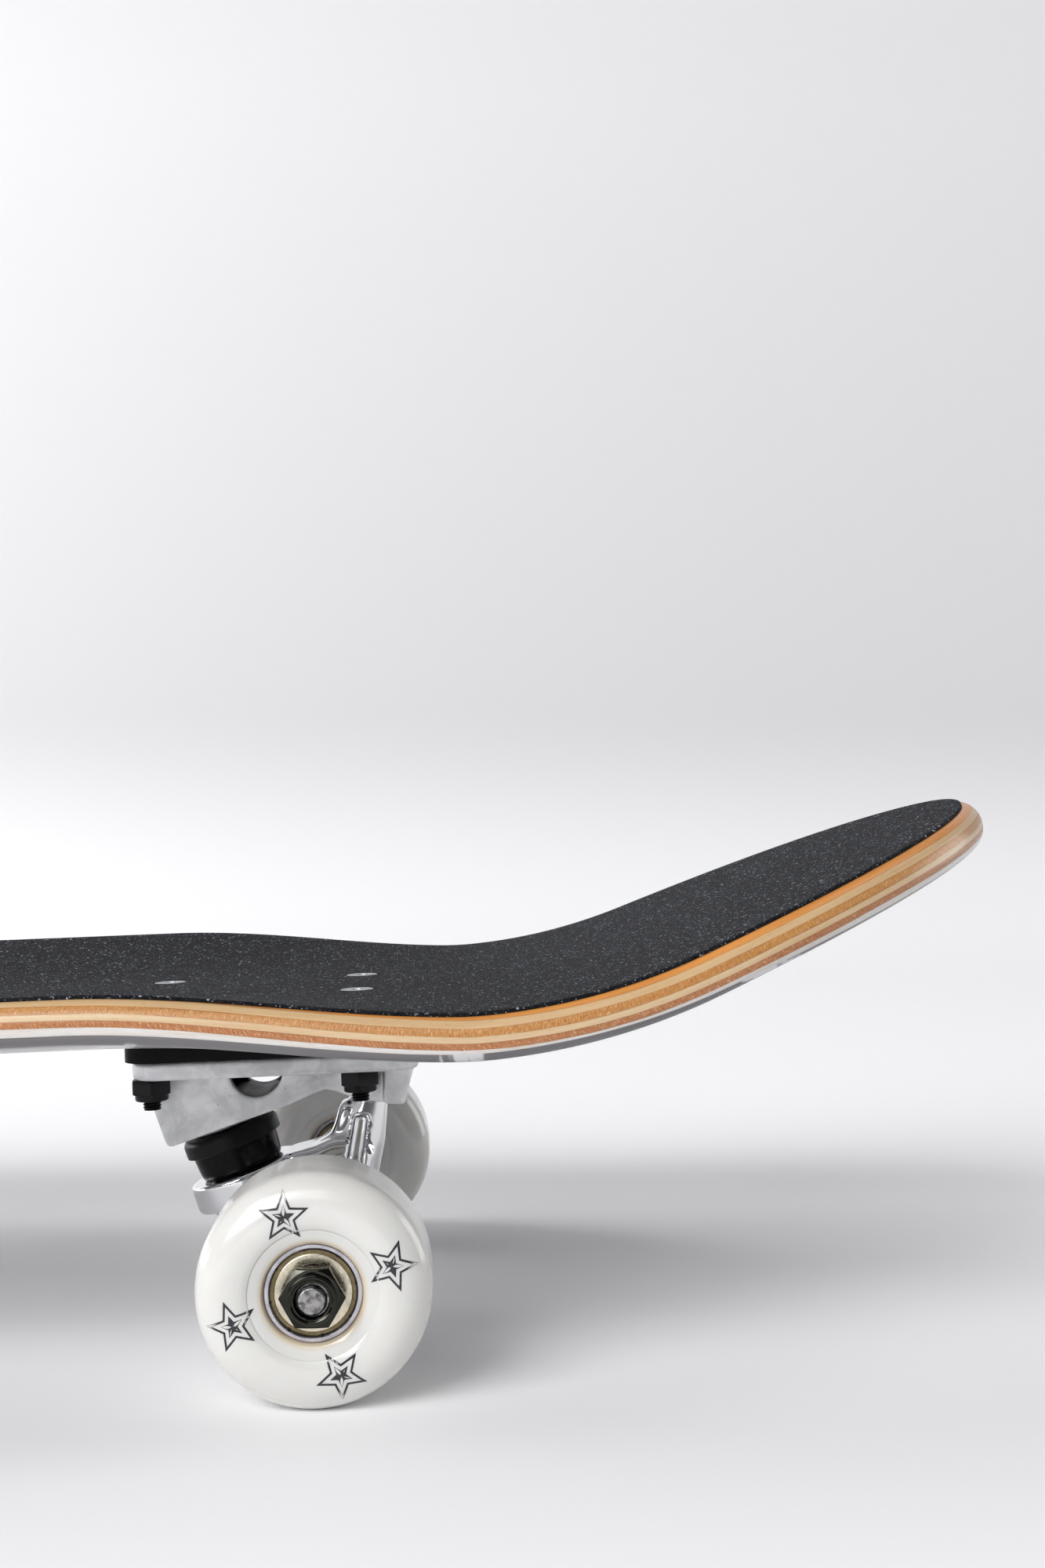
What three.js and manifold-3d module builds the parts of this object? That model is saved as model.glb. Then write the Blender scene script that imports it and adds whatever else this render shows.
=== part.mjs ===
// A street skateboard: a concave maple deck with grip tape, two trucks that lean on urethane
// bushings, and four urethane wheels, each on a pair of 608 bearings.
// Millimetres, +Z up, +X towards the nose, +Y towards the left side. The origin is on the ground,
// below the middle of the deck's length.
import * as THREE from "three";
import { mergeVertices } from "three/addons/utils/BufferGeometryUtils.js";
import Module from "manifold-3d";

const wasm = await Module();
wasm.setup();

// ---- driving dimensions ----
const DECK_WIDTH = 203.2;
const DECK_THICKNESS = 10;
const WHEELBASE = 362; // between the inner bolts of the two trucks
const NOSE_LENGTH = 168.5; // from the outer bolts to the tip, along the ground
const TAIL_LENGTH = 160;
const BOLT_PITCH = 53.98;
const BOLT_SPREAD = 41.28;
const WHEEL_RADIUS = 26.5;
const WHEEL_WIDTH = 31;
const WHEEL_MIDDLE = 82; // from the board's centre line to the middle of a wheel
const AXLE_LENGTH = 203;
const AXLE_RADIUS = 3.97;
const SEAT_GAP = 0.2; // between two flat faces that rest on each other
const BORE_GAP = 0.3; // around a shaft in a bore that holds it

// ---- the deck's long shape ----
const TRUCK_SLOPE = THREE.MathUtils.degToRad(2.07); // the deck already rises outwards under a truck
const KICK_ANGLE = THREE.MathUtils.degToRad(23.5);
const KICK_RADIUS = 165;
const KICK_START = 30; // from the axle to where the kick starts to bend
const ROCKER_END = 118; // from the board's middle to where the slope becomes constant
const CONCAVE_DEPTH = 9.5; // how far the edges stand above the middle, between the trucks
const KICK_CONCAVE = 1.3;
const CONCAVE_POWER = 1.6;
const FLAT_HALF_WIDTH = 22; // the level band along the centre line
const TAPER_START = -10; // from the axle to where the outline starts to narrow
const TAPER_POWER = 2.9;
const EDGE_ROUNDING = 3.5;
const GRIP_THICKNESS = 0.8;
const GRIP_GAP = 0.05;

// ---- the truck, in its own frame: the axle is at the origin, z is square to the deck ----
const AXLE_TO_MIDDLE_PLY = 53.5; // from the axle up to the middle of the deck's thickness
const OUTER_BOLT_X = 9.1;
const INNER_BOLT_X = OUTER_BOLT_X - BOLT_PITCH;
const FLANGE_BOTTOM = 38.3;
const FLANGE_TOP = 43.1;
const FLANGE_HALF_WIDTH = 27.5;
const FLANGE_INNER_X = -49.6;
const FLANGE_OUTER_X = 24.6;
const RISER_OVERHANG = 1.7;
const CASTING_HALF_WIDTH = 14.2;
const KINGPIN_LEAN = THREE.MathUtils.degToRad(18);
const KINGPIN_SEAT = new THREE.Vector3(-28.2, 0, 23.3); // where the kingpin leaves the casting
const KINGPIN_RADIUS = 4.75;
const PIVOT_TIP = new THREE.Vector3(12.2, 0, 33);
const PIVOT_LEAN = THREE.MathUtils.degToRad(15.5);
const RING_TOP = 13.4; // along the kingpin, from its seat
const RING_THICKNESS = 8;
const RING_RADIUS = 15;
const RING_BORE = 8;
const HANGER_END = 68.5;

// ---- worked-out places ----
const HALF_WHEELBASE = WHEELBASE / 2;
const LENGTH = WHEELBASE + 2 * BOLT_PITCH + NOSE_LENGTH + TAIL_LENGTH;
const MIDDLE_X = LENGTH / 2 - NOSE_LENGTH - BOLT_PITCH - HALF_WHEELBASE;
const BOLT_TO_AXLE = OUTER_BOLT_X * Math.cos(TRUCK_SLOPE) - AXLE_TO_MIDDLE_PLY * Math.sin(TRUCK_SLOPE);
const AXLE_DISTANCE = HALF_WHEELBASE + BOLT_PITCH - BOLT_TO_AXLE; // from MIDDLE_X
const DECK_BOTTOM = AXLE_TO_MIDDLE_PLY - DECK_THICKNESS / 2;
const DECK_TOP = AXLE_TO_MIDDLE_PLY + DECK_THICKNESS / 2;
const GRIP_TOP = DECK_TOP + GRIP_GAP + GRIP_THICKNESS;

// ---- materials ----
function material(color, roughness, metalness = 0) {
  return new THREE.MeshStandardMaterial({ color, roughness, metalness });
}

const MAPLE = () => material(0xd9a066, 0.45);
const GRIP = () => material(0x25272b, 0.95);
const BLACK_PLASTIC = () => material(0x1a1a1c, 0.5);
const URETHANE = () => material(0xf2ecdd, 0.3);
const BUSHING = () => material(0x151517, 0.4);
const CAST_ALUMINIUM = () => material(0xb9babb, 0.6, 0.9);
const POLISHED_ALUMINIUM = () => material(0xd8d9db, 0.2, 1);
const STEEL = () => material(0xc4c4c8, 0.3, 1);
const BLACK_STEEL = () => material(0x222226, 0.4, 0.8);

// ---- solids: joining and cutting ----
function solidOf(geometry) {
  const bare = geometry.clone();
  bare.deleteAttribute("normal");
  bare.deleteAttribute("uv");
  const merged = mergeVertices(bare, 1e-4);
  const vertProperties = merged.attributes.position.array;
  const triVerts = new Uint32Array(merged.index.array);
  return new wasm.Manifold(new wasm.Mesh({ numProp: 3, vertProperties, triVerts }));
}

function geometryOf(solid) {
  const mesh = solid.getMesh();
  const geometry = new THREE.BufferGeometry();
  geometry.setAttribute("position", new THREE.BufferAttribute(mesh.vertProperties, 3));
  geometry.setIndex(new THREE.BufferAttribute(mesh.triVerts, 1));
  geometry.computeVertexNormals();
  return geometry;
}

function joined(geometries) {
  return geometries.map(solidOf).reduce((whole, piece) => whole.add(piece));
}

function cut(body, tools) {
  const start = body instanceof THREE.BufferGeometry ? solidOf(body) : body;
  return geometryOf(tools.reduce((rest, tool) => rest.subtract(solidOf(tool)), start));
}

// ---- basic shapes ----

// How many flat sides stand for a circle: small pieces, pieces of a truck, and wheels.
const SMALL = 10;
const MEDIUM = 16;
const LARGE = 24;

// Turned about the y axis. Each point is [radius, y], listed with y going up.
function turned(points, segments = MEDIUM) {
  return new THREE.LatheGeometry(points.map(([r, y]) => new THREE.Vector2(r, y)), segments);
}

function rod(radius, from, to, segments = MEDIUM) {
  return turned([[0, from], [radius, from], [radius, to], [0, to]], segments);
}

function tube(inner, outer, from, to, segments = MEDIUM) {
  return turned([[inner, from], [outer, from], [outer, to], [inner, to], [inner, from]], segments);
}

// A hexagonal bar along y, measured across its flats.
function hexBar(acrossFlats, from, to) {
  return rod(acrossFlats / Math.sqrt(3), from, to, 6);
}

// An outline in the xz plane, given from -halfWidth to +halfWidth along y.
function sidewaysPlate(points, halfWidth) {
  const shape = new THREE.Shape(points.map(([x, z]) => new THREE.Vector2(x, z)));
  const geometry = new THREE.ExtrudeGeometry(shape, { depth: 2 * halfWidth, bevelEnabled: false });
  geometry.rotateX(Math.PI / 2);
  geometry.translate(0, halfWidth, 0);
  return geometry;
}

// A level plate with rounded corners, from bottom to top.
function roundedPlate(x0, x1, halfWidth, radius, bottom, top) {
  const shape = new THREE.Shape();
  const corners = [[x1, halfWidth, 0], [x0, halfWidth, 1], [x0, -halfWidth, 2], [x1, -halfWidth, 3]];
  for (const [x, y, turn] of corners) {
    const centreX = x - Math.sign(x - (x0 + x1) / 2) * radius;
    const centreY = y - Math.sign(y) * radius;
    const start = (turn * Math.PI) / 2;
    shape.absarc(centreX, centreY, radius, start, start + Math.PI / 2, false);
  }
  const options = { depth: top - bottom, bevelEnabled: false, curveSegments: 3 };
  return new THREE.ExtrudeGeometry(shape, options).translate(0, 0, bottom);
}

// Stands a piece turned about y upright, with its y along +z, over the given point.
function upright(geometry, x = 0, y = 0) {
  return geometry.rotateX(Math.PI / 2).translate(x, y, 0);
}

// Turns a piece from y onto an axis in the xz plane: y runs from the point along the direction.
function along(geometry, point, direction) {
  const turn = new THREE.Quaternion().setFromUnitVectors(new THREE.Vector3(0, 1, 0), direction);
  return geometry.applyQuaternion(turn).translate(point.x, point.y, point.z);
}

const KINGPIN_DOWN = new THREE.Vector3(Math.sin(KINGPIN_LEAN), 0, -Math.cos(KINGPIN_LEAN));
const PIVOT_UP = new THREE.Vector3(Math.sin(PIVOT_LEAN), 0, Math.cos(PIVOT_LEAN));

function onKingpin(geometry) {
  return along(geometry, KINGPIN_SEAT, KINGPIN_DOWN);
}

function onPivot(geometry) {
  return along(geometry, PIVOT_TIP, PIVOT_UP);
}

// ---- the deck's surface ----
function smoothStep(value) {
  return THREE.MathUtils.smoothstep(value, 0, 1);
}

// Height of the middle ply on the centre line, at a distance from the board's middle.
function middleHeight(distance) {
  const slope = Math.tan(TRUCK_SLOPE);
  const overAxle = WHEEL_RADIUS + AXLE_TO_MIDDLE_PLY / Math.cos(TRUCK_SLOPE);
  if (distance < ROCKER_END) {
    const fall = (ROCKER_END ** 2 - distance ** 2) / (2 * ROCKER_END);
    return overAxle + slope * (ROCKER_END - AXLE_DISTANCE) - slope * fall;
  }
  const past = distance - AXLE_DISTANCE - KICK_START;
  if (past < 0) return overAxle + slope * (distance - AXLE_DISTANCE);
  const bendLength = KICK_RADIUS * (Math.sin(KICK_ANGLE) - Math.sin(TRUCK_SLOPE));
  const inBend = Math.min(past, bendLength);
  const angle = Math.asin(Math.sin(TRUCK_SLOPE) + inBend / KICK_RADIUS);
  const rise = KICK_RADIUS * (Math.cos(TRUCK_SLOPE) - Math.cos(angle));
  return overAxle + slope * KICK_START + rise + (past - inBend) * Math.tan(KICK_ANGLE);
}

// How far the surface stands above the centre line because of the concave.
function concave(distance, y) {
  const fade = smoothStep((distance - AXLE_DISTANCE + 55) / 95);
  const depth = CONCAVE_DEPTH + (KICK_CONCAVE - CONCAVE_DEPTH) * fade;
  const out = Math.max(0, Math.abs(y) - FLAT_HALF_WIDTH) / (DECK_WIDTH / 2 - FLAT_HALF_WIDTH);
  return depth * out ** CONCAVE_POWER;
}

function surfaceHeight(x, y) {
  const distance = Math.abs(x - MIDDLE_X);
  return middleHeight(distance) + concave(distance, y);
}

// A point at a distance above the middle ply, measured square to the surface.
function deckPoint(x, y, above) {
  const step = 0.5;
  const slopeX = (surfaceHeight(x + step, y) - surfaceHeight(x - step, y)) / (2 * step);
  const slopeY = (surfaceHeight(x, y + step) - surfaceHeight(x, y - step)) / (2 * step);
  const normal = new THREE.Vector3(-slopeX, -slopeY, 1).normalize();
  return new THREE.Vector3(x, y, surfaceHeight(x, y)).addScaledVector(normal, above);
}

// Half of the outline's width at x. The tips are where it reaches zero.
function outlineHalfWidth(x, inset) {
  const end = x > MIDDLE_X ? NOSE_LENGTH : TAIL_LENGTH;
  const tip = HALF_WHEELBASE + BOLT_PITCH + end - inset;
  const start = AXLE_DISTANCE + TAPER_START;
  const t = THREE.MathUtils.clamp((Math.abs(x - MIDDLE_X) - start) / (tip - start), 0, 1);
  return (DECK_WIDTH / 2 - inset) * Math.sqrt(1 - t ** TAPER_POWER);
}

// Stations along the board, closer together where the outline turns round at the tips.
function stations(inset) {
  const ends = [-1, 1].map((side) => {
    const length = side > 0 ? NOSE_LENGTH : TAIL_LENGTH;
    const tip = HALF_WHEELBASE + BOLT_PITCH + length - inset;
    const start = AXLE_DISTANCE + KICK_START;
    const steps = [0.2, 0.4, 0.6, 0.76, 0.88, 0.95, 0.99, 1];
    return steps.map((share) => MIDDLE_X + side * (start + share * (tip - start)));
  });
  const middle = [20, 70, ROCKER_END, AXLE_DISTANCE - 60, AXLE_DISTANCE - 35];
  const trucks = [AXLE_DISTANCE - 10, AXLE_DISTANCE + 12, AXLE_DISTANCE + KICK_START];
  const half = [...middle, ...trucks];
  const between = [...half.map((d) => MIDDLE_X - d).reverse(), ...half.map((d) => MIDDLE_X + d)];
  return [...ends[0].reverse(), ...between, ...ends[1]];
}

const ACROSS = [-1, -0.75, -0.47, -0.2165, 0.2165, 0.47, 0.75, 1];

// A sheet that follows the deck: rings is a list of [inset, height above the middle ply] around
// its edge, from its upper face to its lower one.
function deckSheet(rings) {
  const positions = [];
  const indices = [];
  const add = (x, y, above) => positions.push(...deckPoint(x, y, above).toArray()) / 3 - 1;
  const face = (inset, above) =>
    stations(inset).map((x, i, all) => {
      const isTip = i === 0 || i === all.length - 1;
      if (isTip) return [add(x, 0, above)];
      return ACROSS.map((share) => add(x, share * outlineHalfWidth(x, inset), above));
    });
  const outlineOf = (rows) => [
    ...rows.map((row) => row[0]),
    ...rows.slice(1, -1).reverse().map((row) => row[row.length - 1]),
  ];
  const edgeOnly = (inset, above) =>
    outlineOf(
      stations(inset).map((x, i, all) => {
        const isTip = i === 0 || i === all.length - 1;
        const half = outlineHalfWidth(x, inset);
        return isTip ? [add(x, 0, above)] : [add(x, -half, above), add(x, half, above)];
      }),
    );
  const fill = (rows, up) => {
    const triangle = (a, b, c) => indices.push(...(up ? [a, b, c] : [a, c, b]));
    for (let i = 0; i + 1 < rows.length; i++) {
      const [near, far] = [rows[i], rows[i + 1]];
      for (let j = 0; j + 1 < ACROSS.length; j++) {
        if (far.length > 1) triangle(near[Math.min(j, near.length - 1)], far[j], far[j + 1]);
        const last = far.length > 1 ? far[j + 1] : far[0];
        if (near.length > 1) triangle(near[j], last, near[j + 1]);
      }
    }
  };
  const upper = face(...rings[0]);
  const lower = face(...rings[rings.length - 1]);
  fill(upper, true);
  fill(lower, false);
  const loops = [outlineOf(upper), ...rings.slice(1, -1).map((ring) => edgeOnly(...ring)), outlineOf(lower)];
  for (let k = 0; k + 1 < loops.length; k++) {
    const [high, low] = [loops[k], loops[k + 1]];
    high.forEach((_, i) => {
      const next = (i + 1) % high.length;
      indices.push(high[i], low[i], low[next], high[i], low[next], high[next]);
    });
  }
  const geometry = new THREE.BufferGeometry();
  geometry.setAttribute("position", new THREE.Float32BufferAttribute(positions, 3));
  geometry.setIndex(indices);
  return geometry;
}

// ---- the truck's place on the board ----
const TRUCK_ENDS = [
  { name: "nose", side: 1 },
  { name: "tail", side: -1 },
];

function truckMatrix(side) {
  const place = new THREE.Matrix4().makeTranslation(MIDDLE_X + side * AXLE_DISTANCE, 0, WHEEL_RADIUS);
  const heading = new THREE.Matrix4().makeRotationZ(side > 0 ? 0 : Math.PI);
  const tilt = new THREE.Matrix4().makeRotationY(-TRUCK_SLOPE);
  return place.multiply(heading).multiply(tilt);
}

const BOLT_PLACES = [
  { name: "outer_left", x: OUTER_BOLT_X, y: BOLT_SPREAD / 2 },
  { name: "outer_right", x: OUTER_BOLT_X, y: -BOLT_SPREAD / 2 },
  { name: "inner_left", x: INNER_BOLT_X, y: BOLT_SPREAD / 2 },
  { name: "inner_right", x: INNER_BOLT_X, y: -BOLT_SPREAD / 2 },
];

// ---- deck bolts: countersunk heads flush with the grip, locknuts under the truck ----
const BOLT_RADIUS = 2.4;
const BOLT_HEAD_RADIUS = 4.4;
const BOLT_HEAD_HEIGHT = 2.4;
const BOLT_END = 30.3;
const NUT_HEIGHT = 5.5;
const NUT_FLATS = 9.53;

function boltSurface(grow) {
  const neck = GRIP_TOP - BOLT_HEAD_HEIGHT;
  const shank = BOLT_RADIUS + grow;
  const head = BOLT_HEAD_RADIUS + grow;
  return { neck, shank, head };
}

function deckBolt() {
  const { neck, shank, head } = boltSurface(0);
  const rim = GRIP_TOP - 0.4;
  const body = turned(
    [[0, BOLT_END], [shank - 0.5, BOLT_END], [shank, BOLT_END + 0.7], [shank, neck], [head, rim],
      [head, GRIP_TOP], [0, GRIP_TOP]],
    SMALL,
  );
  const slot = () => new THREE.BoxGeometry(4.6, 3, 1).translate(0, GRIP_TOP, 0);
  return cut(body, [slot(), slot().rotateY(Math.PI / 2)]);
}

function boltHole(place) {
  const { neck, shank, head } = boltSurface(BORE_GAP);
  const over = GRIP_TOP + 4;
  const hole = [[0, FLANGE_BOTTOM - 5], [shank, FLANGE_BOTTOM - 5], [shank, neck - BORE_GAP],
    [head, GRIP_TOP - 0.4 - BORE_GAP / 2], [head, over], [0, over]];
  return upright(turned(hole, SMALL), place.x, place.y);
}

function locknut() {
  const top = FLANGE_BOTTOM - SEAT_GAP;
  const collar = 1.3;
  const body = joined([
    hexBar(NUT_FLATS, top - NUT_HEIGHT + collar, top),
    rod(NUT_FLATS / 2 - 0.5, top - NUT_HEIGHT, top - 1, SMALL),
  ]);
  return cut(body, [rod(BOLT_RADIUS + BORE_GAP, top - 8, top + 1, SMALL)]);
}

// ---- truck pieces ----
function riserPad() {
  const pad = roundedPlate(
    FLANGE_INNER_X - RISER_OVERHANG, FLANGE_OUTER_X + RISER_OVERHANG,
    FLANGE_HALF_WIDTH + 1, 9, FLANGE_TOP + SEAT_GAP, DECK_BOTTOM - SEAT_GAP,
  );
  return cut(pad, BOLT_PLACES.map(boltHole));
}

// The casting's outline seen from the side: a slanted face that carries the kingpin, a notch,
// and the boss that holds the pivot cup.
const CASTING_OUTLINE = [
  [-46.6, FLANGE_BOTTOM + 1], [-45.6, 29], [-42.7, 20], [-41.6, 19],
  [-11.7, 28.2], [-3.2, 31.1], [-0.8, 31.7], [1.5, 31.3], [4.3, 30.2], [8, 28.9],
  [19, 28], [20.4, 28.6], [23.2, FLANGE_BOTTOM + 1],
];
const WINDOW_X = -18.6;
const WINDOW_RADIUS = 7.2;
// The wide block at the outer end, clear of the outer nuts.
const HEEL_OUTLINE = [[15, FLANGE_BOTTOM + 1], [15, 29], [20.4, 28.4], [23.6, FLANGE_BOTTOM + 1]];
const HEEL_HALF_WIDTH = 20.5;
// Each side wall is hollowed by an upright cylinder between the window and the heel.
const SCOOP_RADIUS = 17.5;
const SCOOP_X = 2;
const SCOOP_Y = 27;

function sideWindow() {
  const top = FLANGE_BOTTOM;
  const arc = Array.from({ length: 9 }, (_, i) => {
    const angle = Math.PI + (i * Math.PI) / 8;
    return [WINDOW_X + WINDOW_RADIUS * Math.cos(angle), top + WINDOW_RADIUS * Math.sin(angle)];
  });
  return sidewaysPlate(arc, CASTING_HALF_WIDTH + 1);
}

function sideWalls() {
  const scoops = [1, -1].map((side) =>
    upright(rod(SCOOP_RADIUS, 20, FLANGE_BOTTOM, LARGE), SCOOP_X, side * SCOOP_Y),
  );
  return cut(sidewaysPlate(CASTING_OUTLINE, CASTING_HALF_WIDTH), scoops);
}

function baseplate() {
  const body = joined([
    roundedPlate(FLANGE_INNER_X, FLANGE_OUTER_X, FLANGE_HALF_WIDTH, 8, FLANGE_BOTTOM, FLANGE_TOP),
    sideWalls(),
    sidewaysPlate(HEEL_OUTLINE, HEEL_HALF_WIDTH),
    onKingpin(rod(10, -6, 1.4)),
  ]);
  const kingpinBore = onKingpin(rod(KINGPIN_RADIUS + BORE_GAP, -30, 10));
  const headRecess = onKingpin(hexBar(KINGPIN_HEAD_FLATS + 2 * BORE_GAP, -30, KINGPIN_HEAD_BOTTOM + BORE_GAP));
  const pivotBore = onPivot(rod(CUP_RADIUS + BORE_GAP, CUP_MOUTH - 6, CUP_TOP + BORE_GAP));
  return cut(body, [sideWindow(), kingpinBore, headRecess, pivotBore, ...BOLT_PLACES.map(boltHole)]);
}

// Heights along the kingpin, measured from its seat on the casting.
const KINGPIN_HEAD_FLATS = 14.3;
const KINGPIN_HEAD_BOTTOM = -12.5;
const KINGPIN_HEAD_TOP = -17;
const KINGPIN_END = 42;
const WASHER_TOP = 1.4 + SEAT_GAP;
const WASHER_LIP = 6.4;
const WASHER_RADIUS = 13.1;
const BUSHING_RADIUS = 11.7;
const BUSHING_BORE = KINGPIN_RADIUS + BORE_GAP;
const RING_BOTTOM = RING_TOP + RING_THICKNESS;
const LOWER_BUSHING_END = 30.2;
const LOWER_WASHER_END = 32.6;

function kingpin() {
  return onKingpin(
    geometryOf(
      joined([
        hexBar(KINGPIN_HEAD_FLATS, KINGPIN_HEAD_TOP, KINGPIN_HEAD_BOTTOM),
        turned([[0, -14], [KINGPIN_RADIUS, -14], [KINGPIN_RADIUS, KINGPIN_END - 1],
          [KINGPIN_RADIUS - 0.9, KINGPIN_END], [0, KINGPIN_END]]),
      ]),
    ),
  );
}

function kingpinNut() {
  const top = LOWER_WASHER_END + SEAT_GAP;
  const body = joined([hexBar(14.3, top, top + 5.8), rod(6.3, top + 1, top + 7.4)]);
  return onKingpin(cut(body, [rod(KINGPIN_RADIUS + BORE_GAP, top - 2, top + 9)]));
}

function upperWasher() {
  const plate = WASHER_TOP + 1.6;
  const lipInside = BUSHING_RADIUS + SEAT_GAP;
  return onKingpin(
    turned([[BUSHING_BORE, WASHER_TOP], [WASHER_RADIUS - 0.6, WASHER_TOP], [WASHER_RADIUS, WASHER_TOP + 0.8],
      [WASHER_RADIUS, WASHER_LIP], [lipInside, WASHER_LIP], [lipInside, plate], [BUSHING_BORE, plate],
      [BUSHING_BORE, WASHER_TOP]]),
  );
}

function upperBushing() {
  return onKingpin(tube(BUSHING_BORE, BUSHING_RADIUS, WASHER_TOP + 1.6 + SEAT_GAP, RING_TOP - SEAT_GAP));
}

function lowerBushing() {
  const top = RING_BOTTOM + SEAT_GAP;
  return onKingpin(
    turned([[BUSHING_BORE, top], [11, top], [11, top + 2], [9.4, LOWER_BUSHING_END],
      [BUSHING_BORE, LOWER_BUSHING_END], [BUSHING_BORE, top]]),
  );
}

function lowerWasher() {
  return onKingpin(tube(BUSHING_BORE, 10, LOWER_BUSHING_END + SEAT_GAP, LOWER_WASHER_END));
}

// Heights along the pivot, measured from the centre of its round tip.
const CUP_RADIUS = 7.4;
const CUP_MOUTH = -4.8;
const CUP_TOP = 6.2;

function pivotCup() {
  return onPivot(
    turned([[0, CUP_TOP - 1.2], [3, CUP_TOP - 1.4], [4.9, 1.5], [5.3, -1.5], [6.5, CUP_MOUTH],
      [CUP_RADIUS, CUP_MOUTH], [CUP_RADIUS, CUP_TOP], [0, CUP_TOP]], SMALL),
  );
}

function pivotStem() {
  const tip = Array.from({ length: 5 }, (_, i) => {
    const angle = (i * Math.PI) / 8;
    return [4.2 * Math.cos(angle), 4.2 * Math.sin(angle)];
  });
  tip[4][0] = 0;
  return onPivot(turned([[0, -30], [7.6, -30], [6.9, -16], [5, -4.8], ...tip], SMALL));
}

// The yoke that ties the ring, the beam and the pivot stem together.
const YOKE_OUTLINE = [
  [-12, 14.4], [-11, 6.2], [-7.6, 5.2], [-5.6, 0], [6, -4], [7.8, 3], [10.6, 8], [12, 14],
  [8.5, 18.6], [0, 18], [-4.3, 16.2],
];
// The rib that sweeps from the ring up into the pivot stem.
const RIB_OUTLINE = [
  [-5, 10], [-4.9, 16.3], [-2.2, 17.5], [0, 19], [1.2, 21.6], [2, 24.2], [3, 27.4], [6.5, 27.4], [6.5, 10],
];
const RIB_HALF_WIDTH = 4.5;
// The channel in each side of the stem. The web between the two is twice WEB_HALF_WIDTH thick.
const CHANNEL_OUTLINE = [
  [3.8, 9.8], [5.2, 16.1], [6.5, 22.6], [7.2, 23.6], [9.6, 23.6], [10.2, 22.6], [9.1, 15.9], [8, 9.8],
];
const CHANNEL_DEPTH = 10;
const WEB_HALF_WIDTH = 2.4;
const WING_OUTLINE = [[0, 16], [5, 13.5], [12, 11.4], [24, 10.2], [46, 6], [46, -4], [0, -4]];

function beam() {
  const half = [[7.6, 0], [7.6, 13], [9.6, 30], [9.2, 52], [8.2, HANGER_END - 0.8], [7.6, HANGER_END]];
  const mirrored = half.slice(1).map(([r, y]) => [r, -y]).reverse();
  return turned([[0, -HANGER_END], ...mirrored, ...half, [0, HANGER_END]]);
}

// One of the two triangular webs that run out along the beam from the stem.
function wing(side) {
  const shape = new THREE.Shape(WING_OUTLINE.map(([y, z]) => new THREE.Vector2(side * y, z)));
  const plate = new THREE.ExtrudeGeometry(shape, { depth: 6, bevelEnabled: false });
  plate.translate(0, 0, -3);
  plate.rotateX(Math.PI / 2).rotateZ(Math.PI / 2);
  return plate.rotateY(PIVOT_LEAN).translate(1.5, 0, 0);
}

function stemChannel(side) {
  const halfDepth = CHANNEL_DEPTH / 2;
  return sidewaysPlate(CHANNEL_OUTLINE, halfDepth).translate(0, side * (WEB_HALF_WIDTH + halfDepth), 0);
}

function hanger() {
  const body = joined([
    beam(),
    onKingpin(rod(RING_RADIUS, RING_TOP, RING_BOTTOM, LARGE)),
    sidewaysPlate(YOKE_OUTLINE, 8),
    sidewaysPlate(RIB_OUTLINE, RIB_HALF_WIDTH),
    wing(1),
    wing(-1),
    pivotStem(),
  ]);
  const ringBore = onKingpin(rod(RING_BORE, RING_TOP - 1, RING_BOTTOM + 1));
  const axleBore = rod(AXLE_RADIUS + BORE_GAP, -HANGER_END - 1, HANGER_END + 1, SMALL);
  const bushingRoom = onKingpin(rod(12, RING_BOTTOM, RING_BOTTOM + 30));
  return cut(body, [ringBore, axleBore, bushingRoom, stemChannel(1), stemChannel(-1)]);
}

function axle() {
  const end = AXLE_LENGTH / 2;
  const tip = AXLE_RADIUS - 0.8;
  const half = [[AXLE_RADIUS, end - 0.8], [tip, end], [0, end]];
  return turned([...half.map(([r, y]) => [r, -y]).reverse(), ...half], SMALL);
}

// ---- wheels, turned about the axle: positions run outwards from the wheel's middle ----
const BEARING_RADIUS = 11;
const BEARING_WIDTH = 7;
const BEARING_START = 5.5; // from the wheel's middle to a bearing's inner face
const BEARING_END = BEARING_START + BEARING_WIDTH;
const INNER_RACE_RADIUS = 5.9;
const OUTER_RACE_BORE = 9.5;
const TREAD_HALF_WIDTH = 8.8;

function wheel() {
  const face = WHEEL_WIDTH / 2;
  const seat = BEARING_RADIUS + 0.1;
  const half = [
    [9.6, BEARING_START - SEAT_GAP], [seat, BEARING_START - SEAT_GAP], [seat, BEARING_END + 1.5],
    [14, face - 1], [17, face], [21.5, face - 0.9], [24.9, face - 3.8], [WHEEL_RADIUS, TREAD_HALF_WIDTH],
  ];
  const lower = half.map(([r, y]) => [r, -y]);
  return turned([...lower, ...half.reverse(), lower[0]], LARGE);
}

function outerRace(side) {
  const [low, high] = side > 0 ? [BEARING_START, BEARING_END] : [-BEARING_END, -BEARING_START];
  return tube(OUTER_RACE_BORE, BEARING_RADIUS, low, high);
}

// The two inner races and the spacer between them, which stand still on the axle.
function bearingSleeve() {
  const bore = AXLE_RADIUS + BORE_GAP;
  const spacer = 5.2;
  return turned(
    [[bore, -BEARING_END], [INNER_RACE_RADIUS, -BEARING_END], [INNER_RACE_RADIUS, -BEARING_START],
      [spacer, -BEARING_START], [spacer, BEARING_START], [INNER_RACE_RADIUS, BEARING_START],
      [INNER_RACE_RADIUS, BEARING_END], [bore, BEARING_END], [bore, -BEARING_END]],
    SMALL,
  );
}

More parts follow.
